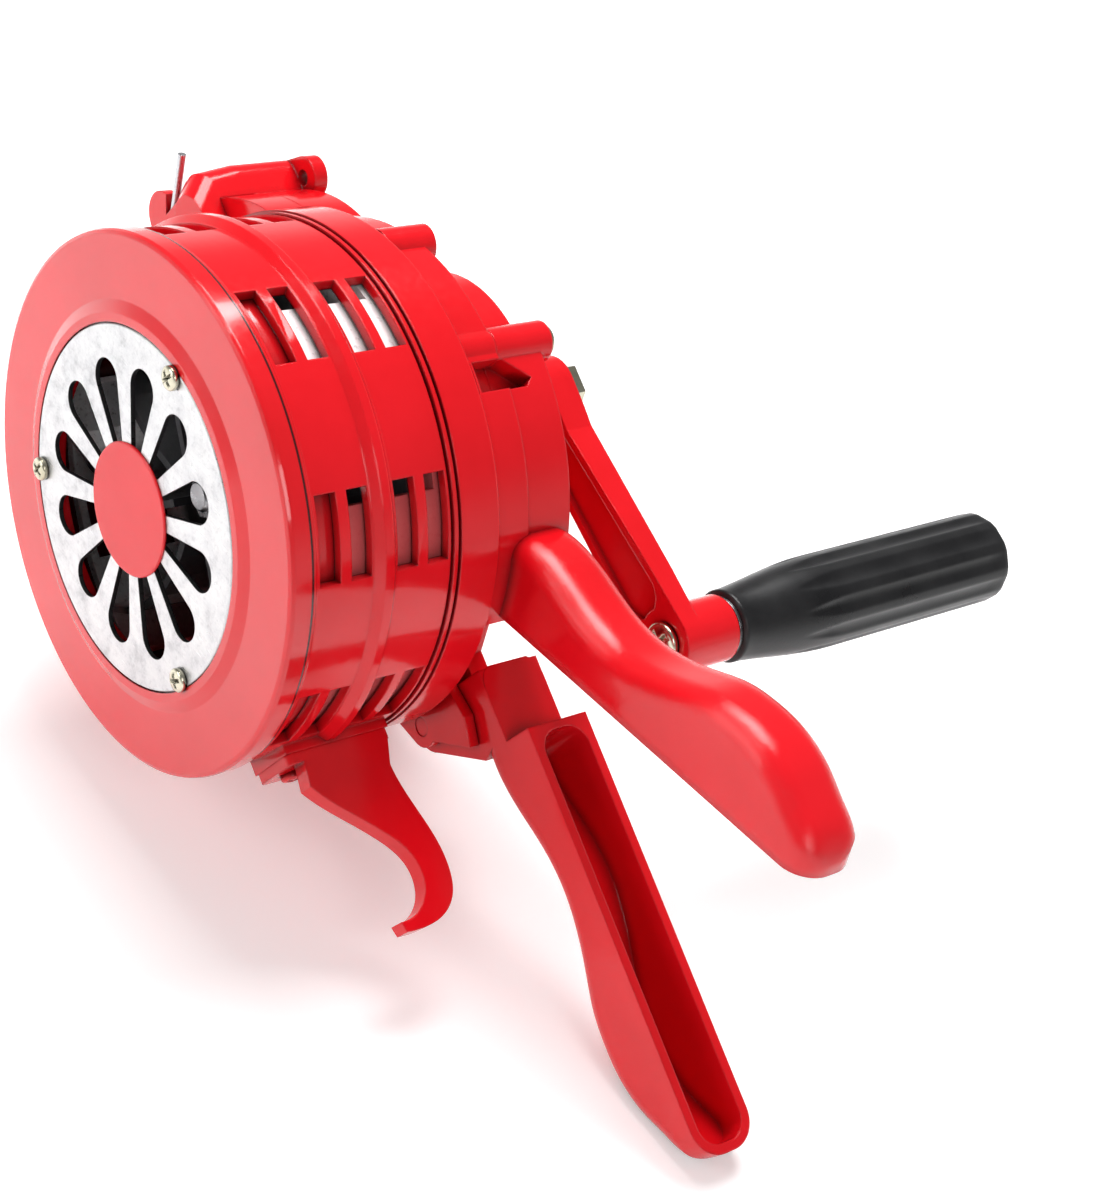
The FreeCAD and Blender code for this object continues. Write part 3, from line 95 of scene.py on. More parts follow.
def make_camera():
    """Camera in front of the siren, to its right and above it."""
    data = bpy.data.cameras.new("camera")
    data.sensor_fit = "HORIZONTAL"
    data.sensor_width = SENSOR_WIDTH
    data.lens = LENS
    data.clip_start, data.clip_end = CLIP_METRES
    camera = bpy.data.objects.new("camera", data)
    bpy.context.scene.collection.objects.link(camera)
    turn = TURN @ Euler([math.radians(angle) for angle in EYE_TURN_DEG]).to_matrix()
    camera.matrix_world = Matrix.Translation(place(*EYE)) @ turn.to_4x4()
    bpy.context.scene.camera = camera


# ---------------------------------------------------------------- node trees
MIX_FACTOR, MIX_FIRST, MIX_SECOND, MIX_RESULT = 0, 6, 7, 2      # colour sockets of a Mix node
BEVEL_SAMPLES = 4
CREVICE_SAMPLES = 6


class Nodes:
    """Adds and links the nodes of one node tree."""

    def __init__(self, tree):
        self.tree = tree

    def add(self, kind, **settings):
        node = self.tree.nodes.new("ShaderNode" + kind)
        for name, value in settings.items():
            setattr(node, name, value)
        return node

    def feed(self, socket, value):
        """Links a node's output to the socket, or sets the socket itself to a plain value."""
        if isinstance(value, bpy.types.NodeSocket):
            self.tree.links.new(value, socket)
        elif socket.type == "RGBA":
            socket.default_value = (*value, 1.0)
        else:
            socket.default_value = value

    def number(self, operation, first, second=0.0):
        """Result of a Math node."""
        node = self.add("Math", operation=operation)
        self.feed(node.inputs[0], first)
        self.feed(node.inputs[1], second)
        return node.outputs["Value"]

    def vector(self, operation, first, second=(0.0, 0.0, 0.0)):
        """Result of a Vector Math node: a number for a dot product or a length, else a vector."""
        node = self.add("VectorMath", operation=operation)
        self.feed(node.inputs[0], first)
        self.feed(node.inputs[1], second)
        return node.outputs["Value" if operation in ("DOT_PRODUCT", "LENGTH") else "Vector"]

    def spread(self, value, low, high, over=(0.3, 0.7), smooth=False):
        """'low' up to the start of 'over', 'high' from its end on, and a ramp in between."""
        node = self.add("MapRange", interpolation_type="SMOOTHSTEP" if smooth else "LINEAR")
        for name, limit in zip(("From Min", "From Max", "To Min", "To Max"), (*over, low, high)):
            node.inputs[name].default_value = limit
        self.feed(node.inputs["Value"], value)
        return node.outputs["Result"]

    def mix(self, share, first, second):
        """Colour that goes from the first to the second as the share goes from 0 to 1."""
        node = self.add("Mix", data_type="RGBA")
        self.feed(node.inputs[MIX_FACTOR], share)
        self.feed(node.inputs[MIX_FIRST], first)
        self.feed(node.inputs[MIX_SECOND], second)
        return node.outputs[MIX_RESULT]


class Shader(Nodes):
    """One procedural material. Its patterns have 'scale' cells to the metre; lengths are in mm."""

    def __init__(self, name):
        self.material = bpy.data.materials.new(name)
        self.material.use_nodes = True
        super().__init__(self.material.node_tree)
        self.bsdf = self.tree.nodes["Principled BSDF"]
        self.coords = self.add("TexCoord").outputs["Object"]

    def set(self, **values):
        """Feeds sockets of the standard shader; an underscore stands for a space in a name."""
        for name, value in values.items():
            self.feed(self.bsdf.inputs[name.replace("_", " ")], value)

    def stretched(self, scale):
        mapping = self.add("Mapping")
        self.feed(mapping.inputs["Scale"], scale)
        self.feed(mapping.inputs["Vector"], self.coords)
        return mapping.outputs["Vector"]

    def noise(self, scale, detail, rough, coords=None):
        node = self.add("TexNoise")
        self.feed(node.inputs["Scale"], scale)
        self.feed(node.inputs["Detail"], detail)
        self.feed(node.inputs["Roughness"], rough)
        self.feed(node.inputs["Vector"], coords or self.coords)
        return node.outputs["Fac"]

    def ramp(self, value, stops):
        """Colour read from a list of places and colours."""
        node = self.add("ValToRGB")
        elements = node.color_ramp.elements
        while len(elements) < len(stops):
            elements.new(0.5)
        for element, (position, colour) in zip(elements, stops):
            element.position = position
            element.color = (*colour, 1.0)
        self.feed(node.inputs["Fac"], value)
        return node.outputs["Color"]

    def bump(self, height, strength, depth, normal):
        node = self.add("Bump")
        self.feed(node.inputs["Strength"], strength)
        self.feed(node.inputs["Distance"], depth * MM)
        self.feed(node.inputs["Height"], height)
        self.feed(node.inputs["Normal"], normal)
        self.set(Normal=node.outputs["Normal"])

    def softened(self, radius):
        """Normal that rounds the edges of a part in the shading."""
        node = self.add("Bevel", samples=BEVEL_SAMPLES)
        self.feed(node.inputs["Radius"], radius * MM)
        return node.outputs["Normal"]

    def edges(self, soft_normal):
        """Mask that is 1 on the edges of a part and 0 on its faces."""
        normal = self.add("NewGeometry").outputs["Normal"]
        bend = self.number("SUBTRACT", 1.0, self.vector("DOT_PRODUCT", soft_normal, normal))
        return self.spread(bend, 0.0, 1.0, over=(0.02, 0.25))

    def crevice_shade(self, reach):
        """Painted shade: a mask that is 1 deep in gaps and corners, where shade falls, and 0 on open faces.
        """
        node = self.add("AmbientOcclusion", samples=CREVICE_SAMPLES)
        self.feed(node.inputs["Distance"], reach * MM)
        return self.spread(node.outputs["AO"], 1.0, 0.0, over=(0.35, 0.85))

    def from_origin(self):
        return self.vector("SUBTRACT", self.coords, ORIGIN)

    def along(self, direction):
        """How far a point lies from the siren's origin along a direction, in metres."""
        return self.vector("DOT_PRODUCT", self.from_origin(), direction)

    def from_axis(self):
        """Distance of a point from the drum axis, in metres."""
        flat = self.vector("MULTIPLY", self.from_origin(), (1.0, 0.0, 1.0))
        return self.vector("LENGTH", flat)


# ---------------------------------------------------------------- red enamel
SEAM_Y = (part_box("drum_shell")[0][1] - ORIGIN.y) / MM      # parting line of cover and drum
SEAM_HALF_WIDTH = 0.55
COVER_INNER_R = 60.5         # the inside of the cover's skirt and of the drum lie within these
SHELL_INNER_R = 61.5
INNER_BLUR = 0.6
INSIDE_Y = 3.1               # depth from which painted shade darkens the inside of the drum
INSIDE_BLUR = 0.5
EDGE_R = 0.7
HALF_EDGE_R = 4.0            # the fixed grip half is rounded more than the other castings
ENAMEL_SHADE_REACH = 5.0             # reach of the painted shade in gaps and corners

ENAMEL_BRIGHT = (0.83, 0.007, 0.015)
ENAMEL_DEEP = (0.72, 0.004, 0.009)
ENAMEL_RUBBED = (0.50, 0.045, 0.045)
ENAMEL_SHADED = (0.20, 0.003, 0.005)
ENAMEL_SEAM_SHADE = (0.035, 0.002, 0.003)
ENAMEL_INSIDE_SHADE = (0.07, 0.002, 0.003)


def seam_shade_mask(shade):
    """Painted shade: 1 on the thin line round the drum where the cover meets it."""
    away = shade.number("ABSOLUTE", shade.number("SUBTRACT", shade.along(TO_BACK), SEAM_Y * MM))
    return shade.spread(away, 1.0, 0.0, over=(0.5 * SEAM_HALF_WIDTH * MM, SEAM_HALF_WIDTH * MM))


def inside_shade_mask(shade, inner_r):
    """Painted shade: 1 on the faces that look into the drum, behind its front wall."""
    near = shade.spread(shade.from_axis(), 1.0, 0.0, over=(inner_r * MM, (inner_r + INNER_BLUR) * MM))
    deep = shade.spread(shade.along(TO_BACK), 0.0, 1.0,
                        over=(INSIDE_Y * MM, (INSIDE_Y + INSIDE_BLUR) * MM))
    return shade.number("MULTIPLY", near, deep)


def red_enamel(name, coat, edge_r=EDGE_R, inner_r=None):
    """Glossy enamel on cast metal: faint orange peel, rubbed edges, painted shade in the gaps, seam and drum
    inside.
    """
    shade = Shader(name)
    clouds = shade.noise(scale=22.0, detail=4.0, rough=0.55)
    peel = shade.noise(scale=520.0, detail=2.0, rough=0.5)
    scuffs = shade.noise(scale=260.0, detail=5.0, rough=0.7)
    soft_normal = shade.softened(edge_r)
    colour = shade.mix(shade.spread(clouds, 0.0, 1.0, over=(0.35, 0.68)), ENAMEL_BRIGHT, ENAMEL_DEEP)
    rubbed = shade.number("MULTIPLY", shade.edges(soft_normal),
                          shade.spread(scuffs, 0.0, 0.55, over=(0.45, 0.75)))
    colour = shade.mix(rubbed, colour, ENAMEL_RUBBED)
    # painted shade in gaps and corners
    colour = shade.mix(shade.crevice_shade(ENAMEL_SHADE_REACH), colour, ENAMEL_SHADED)
    if inner_r:
        # painted shade on the seam between cover and drum
        colour = shade.mix(seam_shade_mask(shade), colour, ENAMEL_SEAM_SHADE)
        # painted shade inside the drum
        colour = shade.mix(inside_shade_mask(shade, inner_r), colour, ENAMEL_INSIDE_SHADE)
    shade.set(Base_Color=colour, Roughness=shade.spread(peel, 0.10, 0.17), Coat_Weight=coat,
              Coat_Roughness=0.06, Specular_IOR_Level=0.42)
    shade.bump(peel, strength=0.05, depth=0.4, normal=soft_normal)
    return shade.material


# ---------------------------------------------------------------- metals
METAL_SHADE_REACH = 1.2              # reach of the painted shade in gaps and corners
GRIME = 0.25
SPOT_TONE = 0.45            # colour of the grime spots and of the painted shade in the corners, as shares of the metal's own
CORNER_SHADE = 0.12

CAST_BRIGHT = (0.96, 0.96, 0.96)
CAST_DULL = (0.88, 0.88, 0.89)
CAST_PIT = (0.36, 0.34, 0.34)
CAST_HUB_SHADE = (0.085, 0.085, 0.09)
LOW_SIDE_RED = (0.60, 0.030, 0.034)
LOW_SIDE_RED_RISE = (-20.0, -2.0)       # the rim is red below this and bare above it
LOW_SIDE_RED_SHARE = 0.92
BRIGHT_RIM_R = (50.0, 53.5)          # the casting turns from painted shade at the hub to bright between these

SHEET_STOPS = ((0.30, (0.42, 0.42, 0.43)), (0.45, (0.61, 0.61, 0.62)),
               (0.60, (0.69, 0.69, 0.69)), (0.80, (0.52, 0.52, 0.53)))
SHEET_MARK = (0.42, 0.42, 0.43)
SHEET_CUT_SHADE = (0.07, 0.07, 0.07)


def scaled(values, factor):
    return tuple(factor * value for value in values)


def metal(name, base, other, rough, scale, bump, stretch=None):
    """Bare or plated metal with mottling, fine marks and painted shade in the corners."""
    shade = Shader(name)
    coords = shade.stretched(stretch) if stretch else None
    fine = shade.noise(scale, detail=4.0, rough=0.6, coords=coords)
    clouds = shade.noise(scale / 9.0, detail=3.0, rough=0.6)
    spots = shade.noise(scale * 0.6, detail=6.0, rough=0.75)
    colour = shade.mix(shade.spread(clouds, 0.0, 1.0, over=(0.38, 0.66)), base, other)
    colour = shade.mix(shade.spread(spots, 0.0, GRIME, over=(0.56, 0.72)), colour,
                       scaled(other, SPOT_TONE))
    # painted shade in gaps and corners
    colour = shade.mix(shade.crevice_shade(METAL_SHADE_REACH), colour, scaled(other, CORNER_SHADE))
    shade.set(Base_Color=colour, Roughness=shade.spread(fine, *rough), Metallic=1.0)
    shade.bump(fine, strength=bump, depth=0.3, normal=shade.softened(0.3))
    return shade.material


def cast_aluminium(name):
    """Sand-cast rotor: bright machined pads at the rim, red on the lower side of the rim, painted shade
    towards the hub.
    """
    shade = Shader(name)
    grains = shade.noise(scale=620.0, detail=5.0, rough=0.7)
    clouds = shade.noise(scale=70.0, detail=4.0, rough=0.6)
    pads = shade.mix(shade.spread(clouds, 0.0, 1.0), CAST_BRIGHT, CAST_DULL)
    pads = shade.mix(shade.spread(grains, 0.0, 0.7, over=(0.55, 0.72)), pads, CAST_PIT)
    # the rim is made red on its lower side, fading out above it
    reddened = shade.spread(shade.along(TO_CROWN), LOW_SIDE_RED_SHARE, 0.0, over=scaled(LOW_SIDE_RED_RISE, MM))
    pads = shade.mix(reddened, pads, LOW_SIDE_RED)
    # painted shade towards the hub, bright pads at the rim
    rim = shade.spread(shade.from_axis(), 0.0, 1.0, over=scaled(BRIGHT_RIM_R, MM))
    shade.set(Base_Color=shade.mix(rim, CAST_HUB_SHADE, pads), Roughness=shade.spread(grains, 0.30, 0.55),
              Metallic=shade.spread(rim, 0.35, 0.20, over=(0.0, 1.0)))
    shade.bump(grains, strength=0.35, depth=0.3, normal=shade.softened(0.4))
    return shade.material


def stamped_aluminium(name):
    """Thin aluminium disc with a blotchy, handled face and painted shade on its cut walls."""
    shade = Shader(name)
    blotches = shade.noise(scale=150.0, detail=6.0, rough=0.72)
    specks = shade.noise(scale=900.0, detail=3.0, rough=0.7)
    scratches = shade.noise(120.0, detail=3.0, rough=0.6, coords=shade.stretched((1.0, 1.0, 14.0)))
    face = shade.mix(shade.spread(specks, 0.0, 0.5, over=(0.55, 0.75)),
                     shade.ramp(blotches, SHEET_STOPS), SHEET_MARK)
    normal = shade.add("NewGeometry").outputs["True Normal"]
    # painted shade on the walls that do not face the front
    shaded_cut_wall = shade.spread(shade.vector("DOT_PRODUCT", normal, TO_FRONT), 1.0, 0.0)
    shade.set(Base_Color=shade.mix(shaded_cut_wall, face, SHEET_CUT_SHADE),
              Roughness=shade.spread(scratches, 0.26, 0.50), Metallic=0.85)
    shade.bump(blotches, strength=0.10, depth=0.4, normal=shade.softened(0.4))
    return shade.material


# ---------------------------------------------------------------- plastic
PLASTIC_DEEP = (0.008, 0.008, 0.009)
PLASTIC_PALE = (0.018, 0.018, 0.019)
PLASTIC_RIDGE = (0.045, 0.045, 0.047)


def black_plastic(name):
    """Satin moulded plastic with a fine grain, lighter on its ridges."""
    shade = Shader(name)
    grain = shade.noise(scale=1500.0, detail=2.0, rough=0.5)
    clouds = shade.noise(scale=60.0, detail=4.0, rough=0.6)
    soft_normal = shade.softened(0.6)
    body = shade.mix(shade.spread(clouds, 0.0, 1.0), PLASTIC_DEEP, PLASTIC_PALE)
    ridges = shade.spread(shade.edges(soft_normal), 0.0, 0.4, over=(0.0, 1.0))
    shade.set(Base_Color=shade.mix(ridges, body, PLASTIC_RIDGE),
              Roughness=shade.spread(clouds, 0.26, 0.40), Specular_IOR_Level=0.36)
    shade.bump(grain, strength=0.08, depth=0.3, normal=soft_normal)
    return shade.material


# ---------------------------------------------------------------- finishes
ENAMEL = red_enamel("red_enamel", coat=0.05)
COVER_ENAMEL = red_enamel("red_enamel_drum", coat=0.45, inner_r=COVER_INNER_R)
SHELL_ENAMEL = red_enamel("red_enamel_shell", coat=0.12, inner_r=SHELL_INNER_R)
HALF_ENAMEL = red_enamel("red_enamel_half", coat=0.15, edge_r=HALF_EDGE_R)
SHEET = stamped_aluminium("stamped_aluminium")
CAST = cast_aluminium("cast_aluminium")
PLATED = metal("nickel_plate", base=(0.66, 0.63, 0.50), other=(0.50, 0.46, 0.34),
               rough=(0.12, 0.26), scale=700.0, bump=0.05)
SPRING_STEEL = metal("spring_steel", base=(0.72, 0.72, 0.73), other=(0.52, 0.52, 0.54),
                     rough=(0.16, 0.30), scale=900.0, bump=0.05)
STEEL = metal("machined_steel", base=(0.60, 0.60, 0.62), other=(0.42, 0.42, 0.44),
              rough=(0.22, 0.40), scale=240.0, bump=0.12, stretch=(1.0, 9.0, 1.0))
BRONZE = metal("sintered_bronze", base=(0.50, 0.31, 0.13), other=(0.38, 0.22, 0.09),
               rough=(0.34, 0.50), scale=900.0, bump=0.2)
BLACK = black_plastic("black_plastic")

FINISH_OF_SLOT = {"red_paint": ENAMEL, "grille": SHEET, "cast": CAST, "plated": PLATED, "steel": STEEL,
                  "black": BLACK, "bronze": BRONZE}
FINISH_OF_NODE = {"front_cover": COVER_ENAMEL, "drum_shell": SHELL_ENAMEL,
                  "grip_half_fixed": HALF_ENAMEL, "bar_pin": STEEL}


def dress(thing, material):
    thing.data.materials.clear()
    thing.data.materials.append(material)


def dress_nodes():
    for name, node in NODES.items():
        dress(node, FINISH_OF_NODE.get(name, FINISH_OF_SLOT[SLOT_OF[name]]))


# ---------------------------------------------------------------- meshes
MICRONS = 1e6                # corners on the same micron are one corner


def make_piece(name, surface, material, body, node):
    """Piece that stands for a CAD node and rides on its body."""
    verts, faces = surface
    mesh = bpy.data.meshes.new(name)
    mesh.from_pydata([tuple(v) for v in verts], [], faces)
    mesh.validate()
    mesh.update()
    for face in mesh.polygons:
        face.use_smooth = True
    piece = bpy.data.objects.new(name, mesh)
    bpy.context.scene.collection.objects.link(piece)
    dress(piece, material)
    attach(piece, body)
    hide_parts(node)


def circle(centre, across, up, radius, count):
    """Evenly spaced points round a centre, in the plane of two unit vectors."""
    angles = [FULL_TURN * j / count for j in range(count)]
    return [centre + (across * math.cos(angle) + up * math.sin(angle)) * radius for angle in angles]


def square_to(direction):
    """Two unit vectors that are square to a direction and to each other."""
    side = direction.orthogonal().normalized()
    return side, direction.cross(side)


def loft(rings):
    """Closed skin over rings of equal length, with a fan at each end."""
    verts = [v for ring in rings for v in ring]
    count = len(rings[0])
    last = (len(rings) - 1) * count
    faces = []
    for start in range(0, last, count):
        for j in range(count):
            a = start + j
            b = start + (j + 1) % count
            faces.append((a, b, b + count, a + count))
    verts.append(sum(rings[0], Vector()) / count)
    faces += [(len(verts) - 1, (j + 1) % count, j) for j in range(count)]
    verts.append(sum(rings[-1], Vector()) / count)
    faces += [(len(verts) - 1, last + j, last + (j + 1) % count) for j in range(count)]
    return verts, faces


def join(surfaces):
    verts = []
    faces = []
    for more_verts, more_faces in surfaces:
        base = len(verts)
        verts += more_verts
        faces += [tuple(base + i for i in face) for face in more_faces]
    return verts, faces


def islands(node):
    """Groups of corners, one group for each separate solid of a node."""
    mesh = node.data
    key_of = [tuple(round(c * MICRONS) for c in v.co) for v in mesh.vertices]
    leader = {key: key for key in key_of}

    def find(key):
        while leader[key] != key:
            leader[key] = leader[leader[key]]
            key = leader[key]
        return key

    for edge in mesh.edges:
        first, second = (find(key_of[i]) for i in edge.vertices)
        if first != second:
            leader[first] = second
    groups = {}
    for vertex, key in zip(mesh.vertices, key_of):
        groups.setdefault(find(key), []).append(vertex.co.copy())
    return sorted(groups.values(), key=lambda group: tuple(round(c, 4) for c in group[0]))


# ---------------------------------------------------------------- screws and pins
SMALL_SCREW = {"head_r": 2.9, "head_h": 1.9, "shank_r": 1.5}
CASE_SCREW = {"head_r": 3.8, "head_h": 2.4, "shank_r": 2.0}
GRIP_SCREW = {"head_r": 5.2, "head_h": 2.6, "shank_r": 3.0}
ROUND_PIN = {"head_r": 2.8, "head_h": 1.4, "shank_r": 1.6, "cross": False}

HEAD_SIDES = 64
SHANK_SIDES = 24
# Shares of the head's radius.
HEAD_RINGS = (1.0, 0.97, 0.88, 0.76, 0.66, 0.58, 0.50, 0.42, 0.34, 0.26, 0.18, 0.10, 0.04)
CROSS_HALF_WIDTH = (0.16, 0.12)      # at the face and at the floor of the recess
CROSS_REACH = (0.66, 0.60)
# Shares of the head's height.
HEAD_RIM = 0.55
CROSS_DEPTH = 0.72
DOME_POWER = 2.6
FIRST_CROSS_TURN = 0.4       # radians; no two screws of a node stop at the same angle
NEXT_CROSS_TURN = 1.3


def dome_height(x, y, cross):
    """Height of a head above its seat, as a share of its full height."""
    share = math.hypot(x, y)
    height = HEAD_RIM + (1.0 - HEAD_RIM) * math.sqrt(max(0.0, 1.0 - share ** DOME_POWER))
    if not cross:
        return height
    arm, reach = sorted((abs(x), abs(y)))
    return height - CROSS_DEPTH * fade(arm, *CROSS_HALF_WIDTH) * fade(reach, *CROSS_REACH)


def screw_head(seat, outward, turn, head_r, head_h, cross):
    """Domed head, with a pressed cross recess or plain."""
    side, up = square_to(outward)
    across = side * math.cos(turn) + up * math.sin(turn)
    upright = up * math.cos(turn) - side * math.sin(turn)
    rings = [circle(seat, across, upright, head_r * MM, HEAD_SIDES)]
    for share in HEAD_RINGS:
        ring = []
        for j in range(HEAD_SIDES):
            x = share * math.cos(FULL_TURN * j / HEAD_SIDES)
            y = share * math.sin(FULL_TURN * j / HEAD_SIDES)
            rise = outward * (head_h * dome_height(x, y, cross) * MM)
            ring.append(seat + (across * x + upright * y) * (head_r * MM) + rise)
        rings.append(ring)
    return loft(rings)


def make_screws(node, outward, slot, material, body="housing", *, head_r, head_h, shank_r, cross=True):
    """Heads and shanks in place of the plain screws of a node; 'outward' points out of the heads."""
    side, up = square_to(outward)
    surfaces = []
    for i, corners in enumerate(islands(NODES[node])):
        spans = [[corner.dot(axis) for corner in corners] for axis in (side, up, outward)]
        middle = side * (min(spans[0]) + max(spans[0])) / 2 + up * (min(spans[1]) + max(spans[1])) / 2
        seat = middle + outward * (max(spans[2]) - head_h * MM)
        tip = middle + outward * min(spans[2])
        turn = FIRST_CROSS_TURN + NEXT_CROSS_TURN * i
        surfaces.append(screw_head(seat, outward, turn, head_r, head_h, cross))
        around = square_to((tip - seat).normalized())
        surfaces.append(loft([circle(end, *around, shank_r * MM, SHANK_SIDES) for end in (seat, tip)]))
    make_piece(node + "_detailed", join(surfaces), material, body, node)


# ---------------------------------------------------------------- crank grip
GRIP_LEN = 96.5
GRIP_NECK_R = 9.4
GRIP_R = 12.4
SWELL_POWER = 1.3            # the higher, the later the neck swells
FLUTES = 11
FLUTE_DEPTH = 0.75
FLUTE_WIDTH = 0.62           # as a share of the distance between two ridges
FLUTE_POWER = 0.8            # the lower, the flatter the floor of a flute
FLUTE_CLOSED = 0.75          # how much of its depth a flute has lost at the end
FULL_DEPTH_AT = 0.625        # how far a flute has opened when it is as deep as it gets
# Shares of the grip's length: swell of the neck, start and end of the flutes, even part of the mesh.
SWELL = (0.02, 0.36)
FLUTE_OPENS = (0.20, 0.34)
FLUTE_CLOSES = (0.93, 0.99)
BARREL = (0.01, 0.99)
BARREL_STEPS = 80
GRIP_START = ((0.0, 0.6), (0.0, 0.97), (0.006, 1.0))      # share of the length, size of the ring
GRIP_CAP = ((0.985, 0.45), (0.95, 0.8), (0.90, 0.94), (0.6, 0.95), (0.2, 0.95))      # size, rise
POINTS_PER_FLUTE = 18


def grip_radius(share, angle):
    """Radius of the grip at a share of its length, in millimetres."""
    swell = math.sin(QUARTER_TURN * fade(share, *SWELL)) ** SWELL_POWER
    radius = GRIP_NECK_R + (GRIP_R - GRIP_NECK_R) * swell
    opened = fade(share, *FLUTE_OPENS)
    width = FLUTE_WIDTH * math.sqrt(opened)
    off_middle = abs((FLUTES * angle / FULL_TURN) % 1.0 - 0.5) * 2.0
    if off_middle >= width:
        return radius
    depth = FLUTE_DEPTH * fade(opened, 0.0, FULL_DEPTH_AT)
    depth *= 1.0 - FLUTE_CLOSED * fade(share, *FLUTE_CLOSES)
    return radius - depth * math.cos(QUARTER_TURN * off_middle / width) ** FLUTE_POWER


def make_grip():
    """Moulded grip: plain neck that swells into a fluted barrel with a softly closed end."""
    low, high = (Vector(corner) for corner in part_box("crank_grip"))
    foot = (low + high) / 2
    foot.y = low.y
    around = FLUTES * POINTS_PER_FLUTE
    barrel_start, barrel_end = BARREL
    stations = list(GRIP_START)
    for k in range(BARREL_STEPS + 1):
        stations.append((barrel_start + (barrel_end - barrel_start) * k / BARREL_STEPS, 1.0))
    rings = []
    for share, size in stations:
        centre = foot + TO_BACK * (share * GRIP_LEN * MM)
        ring = []
        for j in range(around):
            angle = FULL_TURN * j / around
            radius = grip_radius(share, angle) * size * MM
            ring.append(centre + (TO_RIGHT * math.sin(angle) + TO_CROWN * math.cos(angle)) * radius)
        rings.append(ring)
    rim = rings[-1]
    centre = sum(rim, Vector()) / around
    for size, rise in GRIP_CAP:
        rings.append([centre + (v - centre) * size + TO_BACK * (rise * MM) for v in rim])
    make_piece("grip_barrel", loft(rings), BLACK, "grip", "crank_grip")


# ---------------------------------------------------------------- spring handle
SPRING_TOP = (-38.0, 74.0)   # X and Z of three points on the handle's arc
SPRING_LEFT = (-83.0, 38.0)
SPRING_LOW = (-72.0, -18.0)
SPRING_Y = 54.2
FERRULE_LEN = 7.0            # length at each end that the ferrules cover
COIL_R = 2.45
COIL_PITCH = 1.72
WIRE_R = 0.78
STEPS_PER_COIL = 14
WIRE_SIDES = 8


def circle_through(a, b, c):
    """Centre and radius of the circle through three points."""
    d = 2.0 * (a[0] * (b[1] - c[1]) + b[0] * (c[1] - a[1]) + c[0] * (a[1] - b[1]))
    aa, bb, cc = (p[0] ** 2 + p[1] ** 2 for p in (a, b, c))
    x = (aa * (b[1] - c[1]) + bb * (c[1] - a[1]) + cc * (a[1] - b[1])) / d
    z = (aa * (c[0] - b[0]) + bb * (a[0] - c[0]) + cc * (b[0] - a[0])) / d
    return x, z, math.hypot(a[0] - x, a[1] - z)


def make_spring():
    """Closely wound coil from one ferrule to the other."""
    middle_x, middle_z, radius = circle_through(SPRING_TOP, SPRING_LEFT, SPRING_LOW)
    start = math.atan2(SPRING_TOP[1] - middle_z, SPRING_TOP[0] - middle_x)
    end = math.atan2(SPRING_LOW[1] - middle_z, SPRING_LOW[0] - middle_x)
    if end < start:
        end += FULL_TURN
    start += FERRULE_LEN / radius
    end -= FERRULE_LEN / radius
    turns = int((end - start) * radius / COIL_PITCH)
    steps = turns * STEPS_PER_COIL

    def beside_arc(share, out, back):
        angle = start + (end - start) * share
        reach = radius + out
        return place(middle_x + reach * math.cos(angle), SPRING_Y + back, middle_z + reach * math.sin(angle))

    def on_wire(share):
        wind = FULL_TURN * turns * share
        return beside_arc(share, COIL_R * math.cos(wind), COIL_R * math.sin(wind))

    points = [on_wire(i / steps) for i in range(steps + 1)]
    rings = []
    for i, point in enumerate(points):
        ahead = (points[min(i + 1, steps)] - points[max(i - 1, 0)]).normalized()
        out = point - beside_arc(i / steps, 0.0, 0.0)
        out = (out - ahead * out.dot(ahead)).normalized()
        rings.append(circle(point, out, ahead.cross(out), WIRE_R * MM, WIRE_SIDES))
    make_piece("spring_coil", loft(rings), SPRING_STEEL, "housing", "spring_handle")


# ---------------------------------------------------------------- floor, world and lights
FLOOR_HALF = 6.0             # metres
FLOOR_Z = -0.0002            # metres
FLOOR_COLOUR = (0.93, 0.93, 0.93)
NEAR_LIFT = 0.32             # glow of the floor near the siren and far from it
FAR_LIFT = 0.47
LIFT_SPAN = (0.5, 2.4)       # metres from the middle between which the glow grows
PALE = 0.74                  # strength of the world at the horizon and overhead
OVERHEAD = 0.24
HORIZON = (0.0, 0.4)         # sine of the height between which the world darkens
WHITE = (1.0, 1.0, 1.0)
LAMP_TARGET = (0.0, 0.0, 0.05)
# Place and side in metres, power in watts.
SOFTBOXES = {
    "key": ((-0.42, 0.18, 1.27), 0.75, 19.2),
    "front": ((-0.45, -1.10, 0.55), 0.7, 4.6),
    "fill": ((1.10, -0.50, 0.90), 0.5, 3.7),
}


def floor_material():
    """Pale floor that glows a little for the camera and for reflections, and keeps the shadow."""
    shade = Shader("studio_floor")
    path = shade.add("LightPath").outputs
    seen = shade.number("MAXIMUM", path["Is Camera Ray"], path["Is Glossy Ray"])
    seen = shade.number("MAXIMUM", seen, path["Is Transmission Ray"])
    distance = shade.vector("LENGTH", shade.coords)
    lift = shade.spread(distance, NEAR_LIFT, FAR_LIFT, over=LIFT_SPAN, smooth=True)
    shade.set(Base_Color=FLOOR_COLOUR, Roughness=0.9, Specular_IOR_Level=0.1, Emission_Color=WHITE,
              Emission_Strength=shade.number("MULTIPLY", seen, lift))
    return shade.material


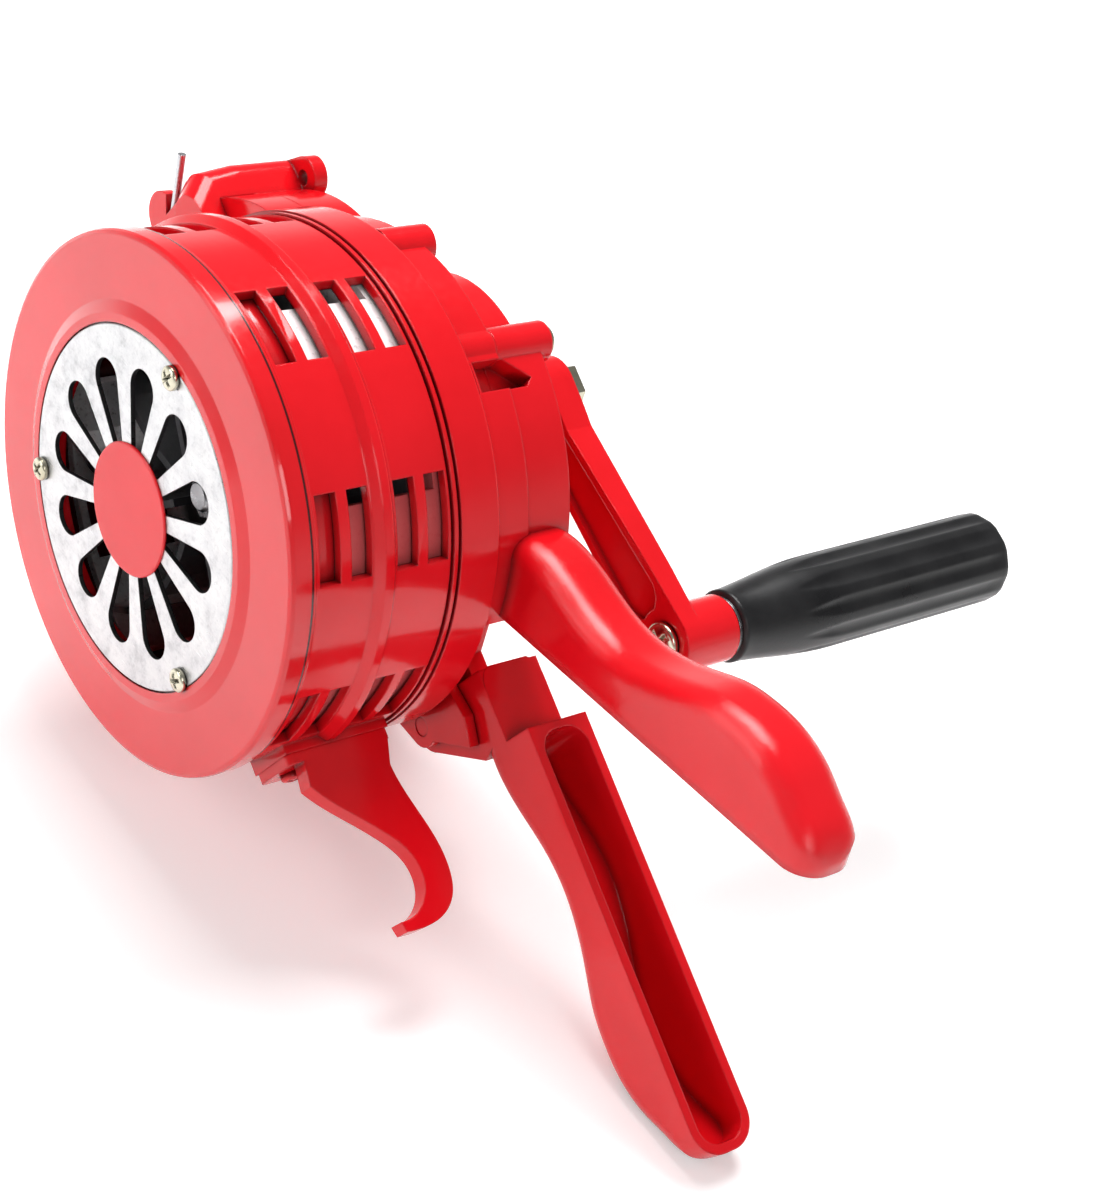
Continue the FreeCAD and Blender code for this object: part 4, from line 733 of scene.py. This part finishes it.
def make_floor():
    size = FLOOR_HALF
    corners = [(-size, -size, 0.0), (size, -size, 0.0), (size, size, 0.0), (-size, size, 0.0)]
    mesh = bpy.data.meshes.new("floor")
    mesh.from_pydata(corners, [], [(0, 1, 2, 3)])
    floor = bpy.data.objects.new("floor", mesh)
    bpy.context.scene.collection.objects.link(floor)
    floor.location.z = FLOOR_Z
    dress(floor, floor_material())


def make_world():
    """Pale studio: light towards the horizon and darker overhead, for every kind of ray alike."""
    world = bpy.data.worlds.new("studio")
    bpy.context.scene.world = world
    world.use_nodes = True
    sky = Nodes(world.node_tree)
    background = sky.tree.nodes["Background"]
    height = sky.vector("DOT_PRODUCT", sky.add("TexCoord").outputs["Generated"], (0.0, 0.0, 1.0))
    sky.feed(background.inputs["Color"], WHITE)
    sky.feed(background.inputs["Strength"], sky.spread(height, PALE, OVERHEAD, over=HORIZON, smooth=True))


def make_lamp(name, at, size, power):
    data = bpy.data.lights.new(name, "AREA")
    data.shape = "SQUARE"
    data.size = size
    data.energy = power
    lamp = bpy.data.objects.new(name, data)
    bpy.context.scene.collection.objects.link(lamp)
    lamp.location = at
    lamp.rotation_mode = "QUATERNION"
    lamp.rotation_quaternion = (Vector(LAMP_TARGET) - Vector(at)).to_track_quat("-Z", "Y")


# ---------------------------------------------------------------- the scene
dress_nodes()
make_grip()
make_spring()
make_screws("grille_screws", TO_FRONT, "plated", PLATED, **SMALL_SCREW)
make_screws("case_screws", TO_BACK, "plated", PLATED, **CASE_SCREW)
make_screws("grip_half_screws", TO_BACK, "plated", PLATED, **SMALL_SCREW)
make_screws("hook_screws", TO_LEG, "red_paint", ENAMEL, **SMALL_SCREW)
make_screws("spring_pins", TO_FRONT, "plated", PLATED, **ROUND_PIN)
make_screws("grip_pin", TO_FRONT, "plated", PLATED, body="crank", **GRIP_SCREW)

bpy.context.scene.view_settings.view_transform = "Standard"
make_camera()
make_floor()
make_world()
for lamp_name, (lamp_at, lamp_size, lamp_power) in SOFTBOXES.items():
    make_lamp(lamp_name, lamp_at, lamp_size, lamp_power)
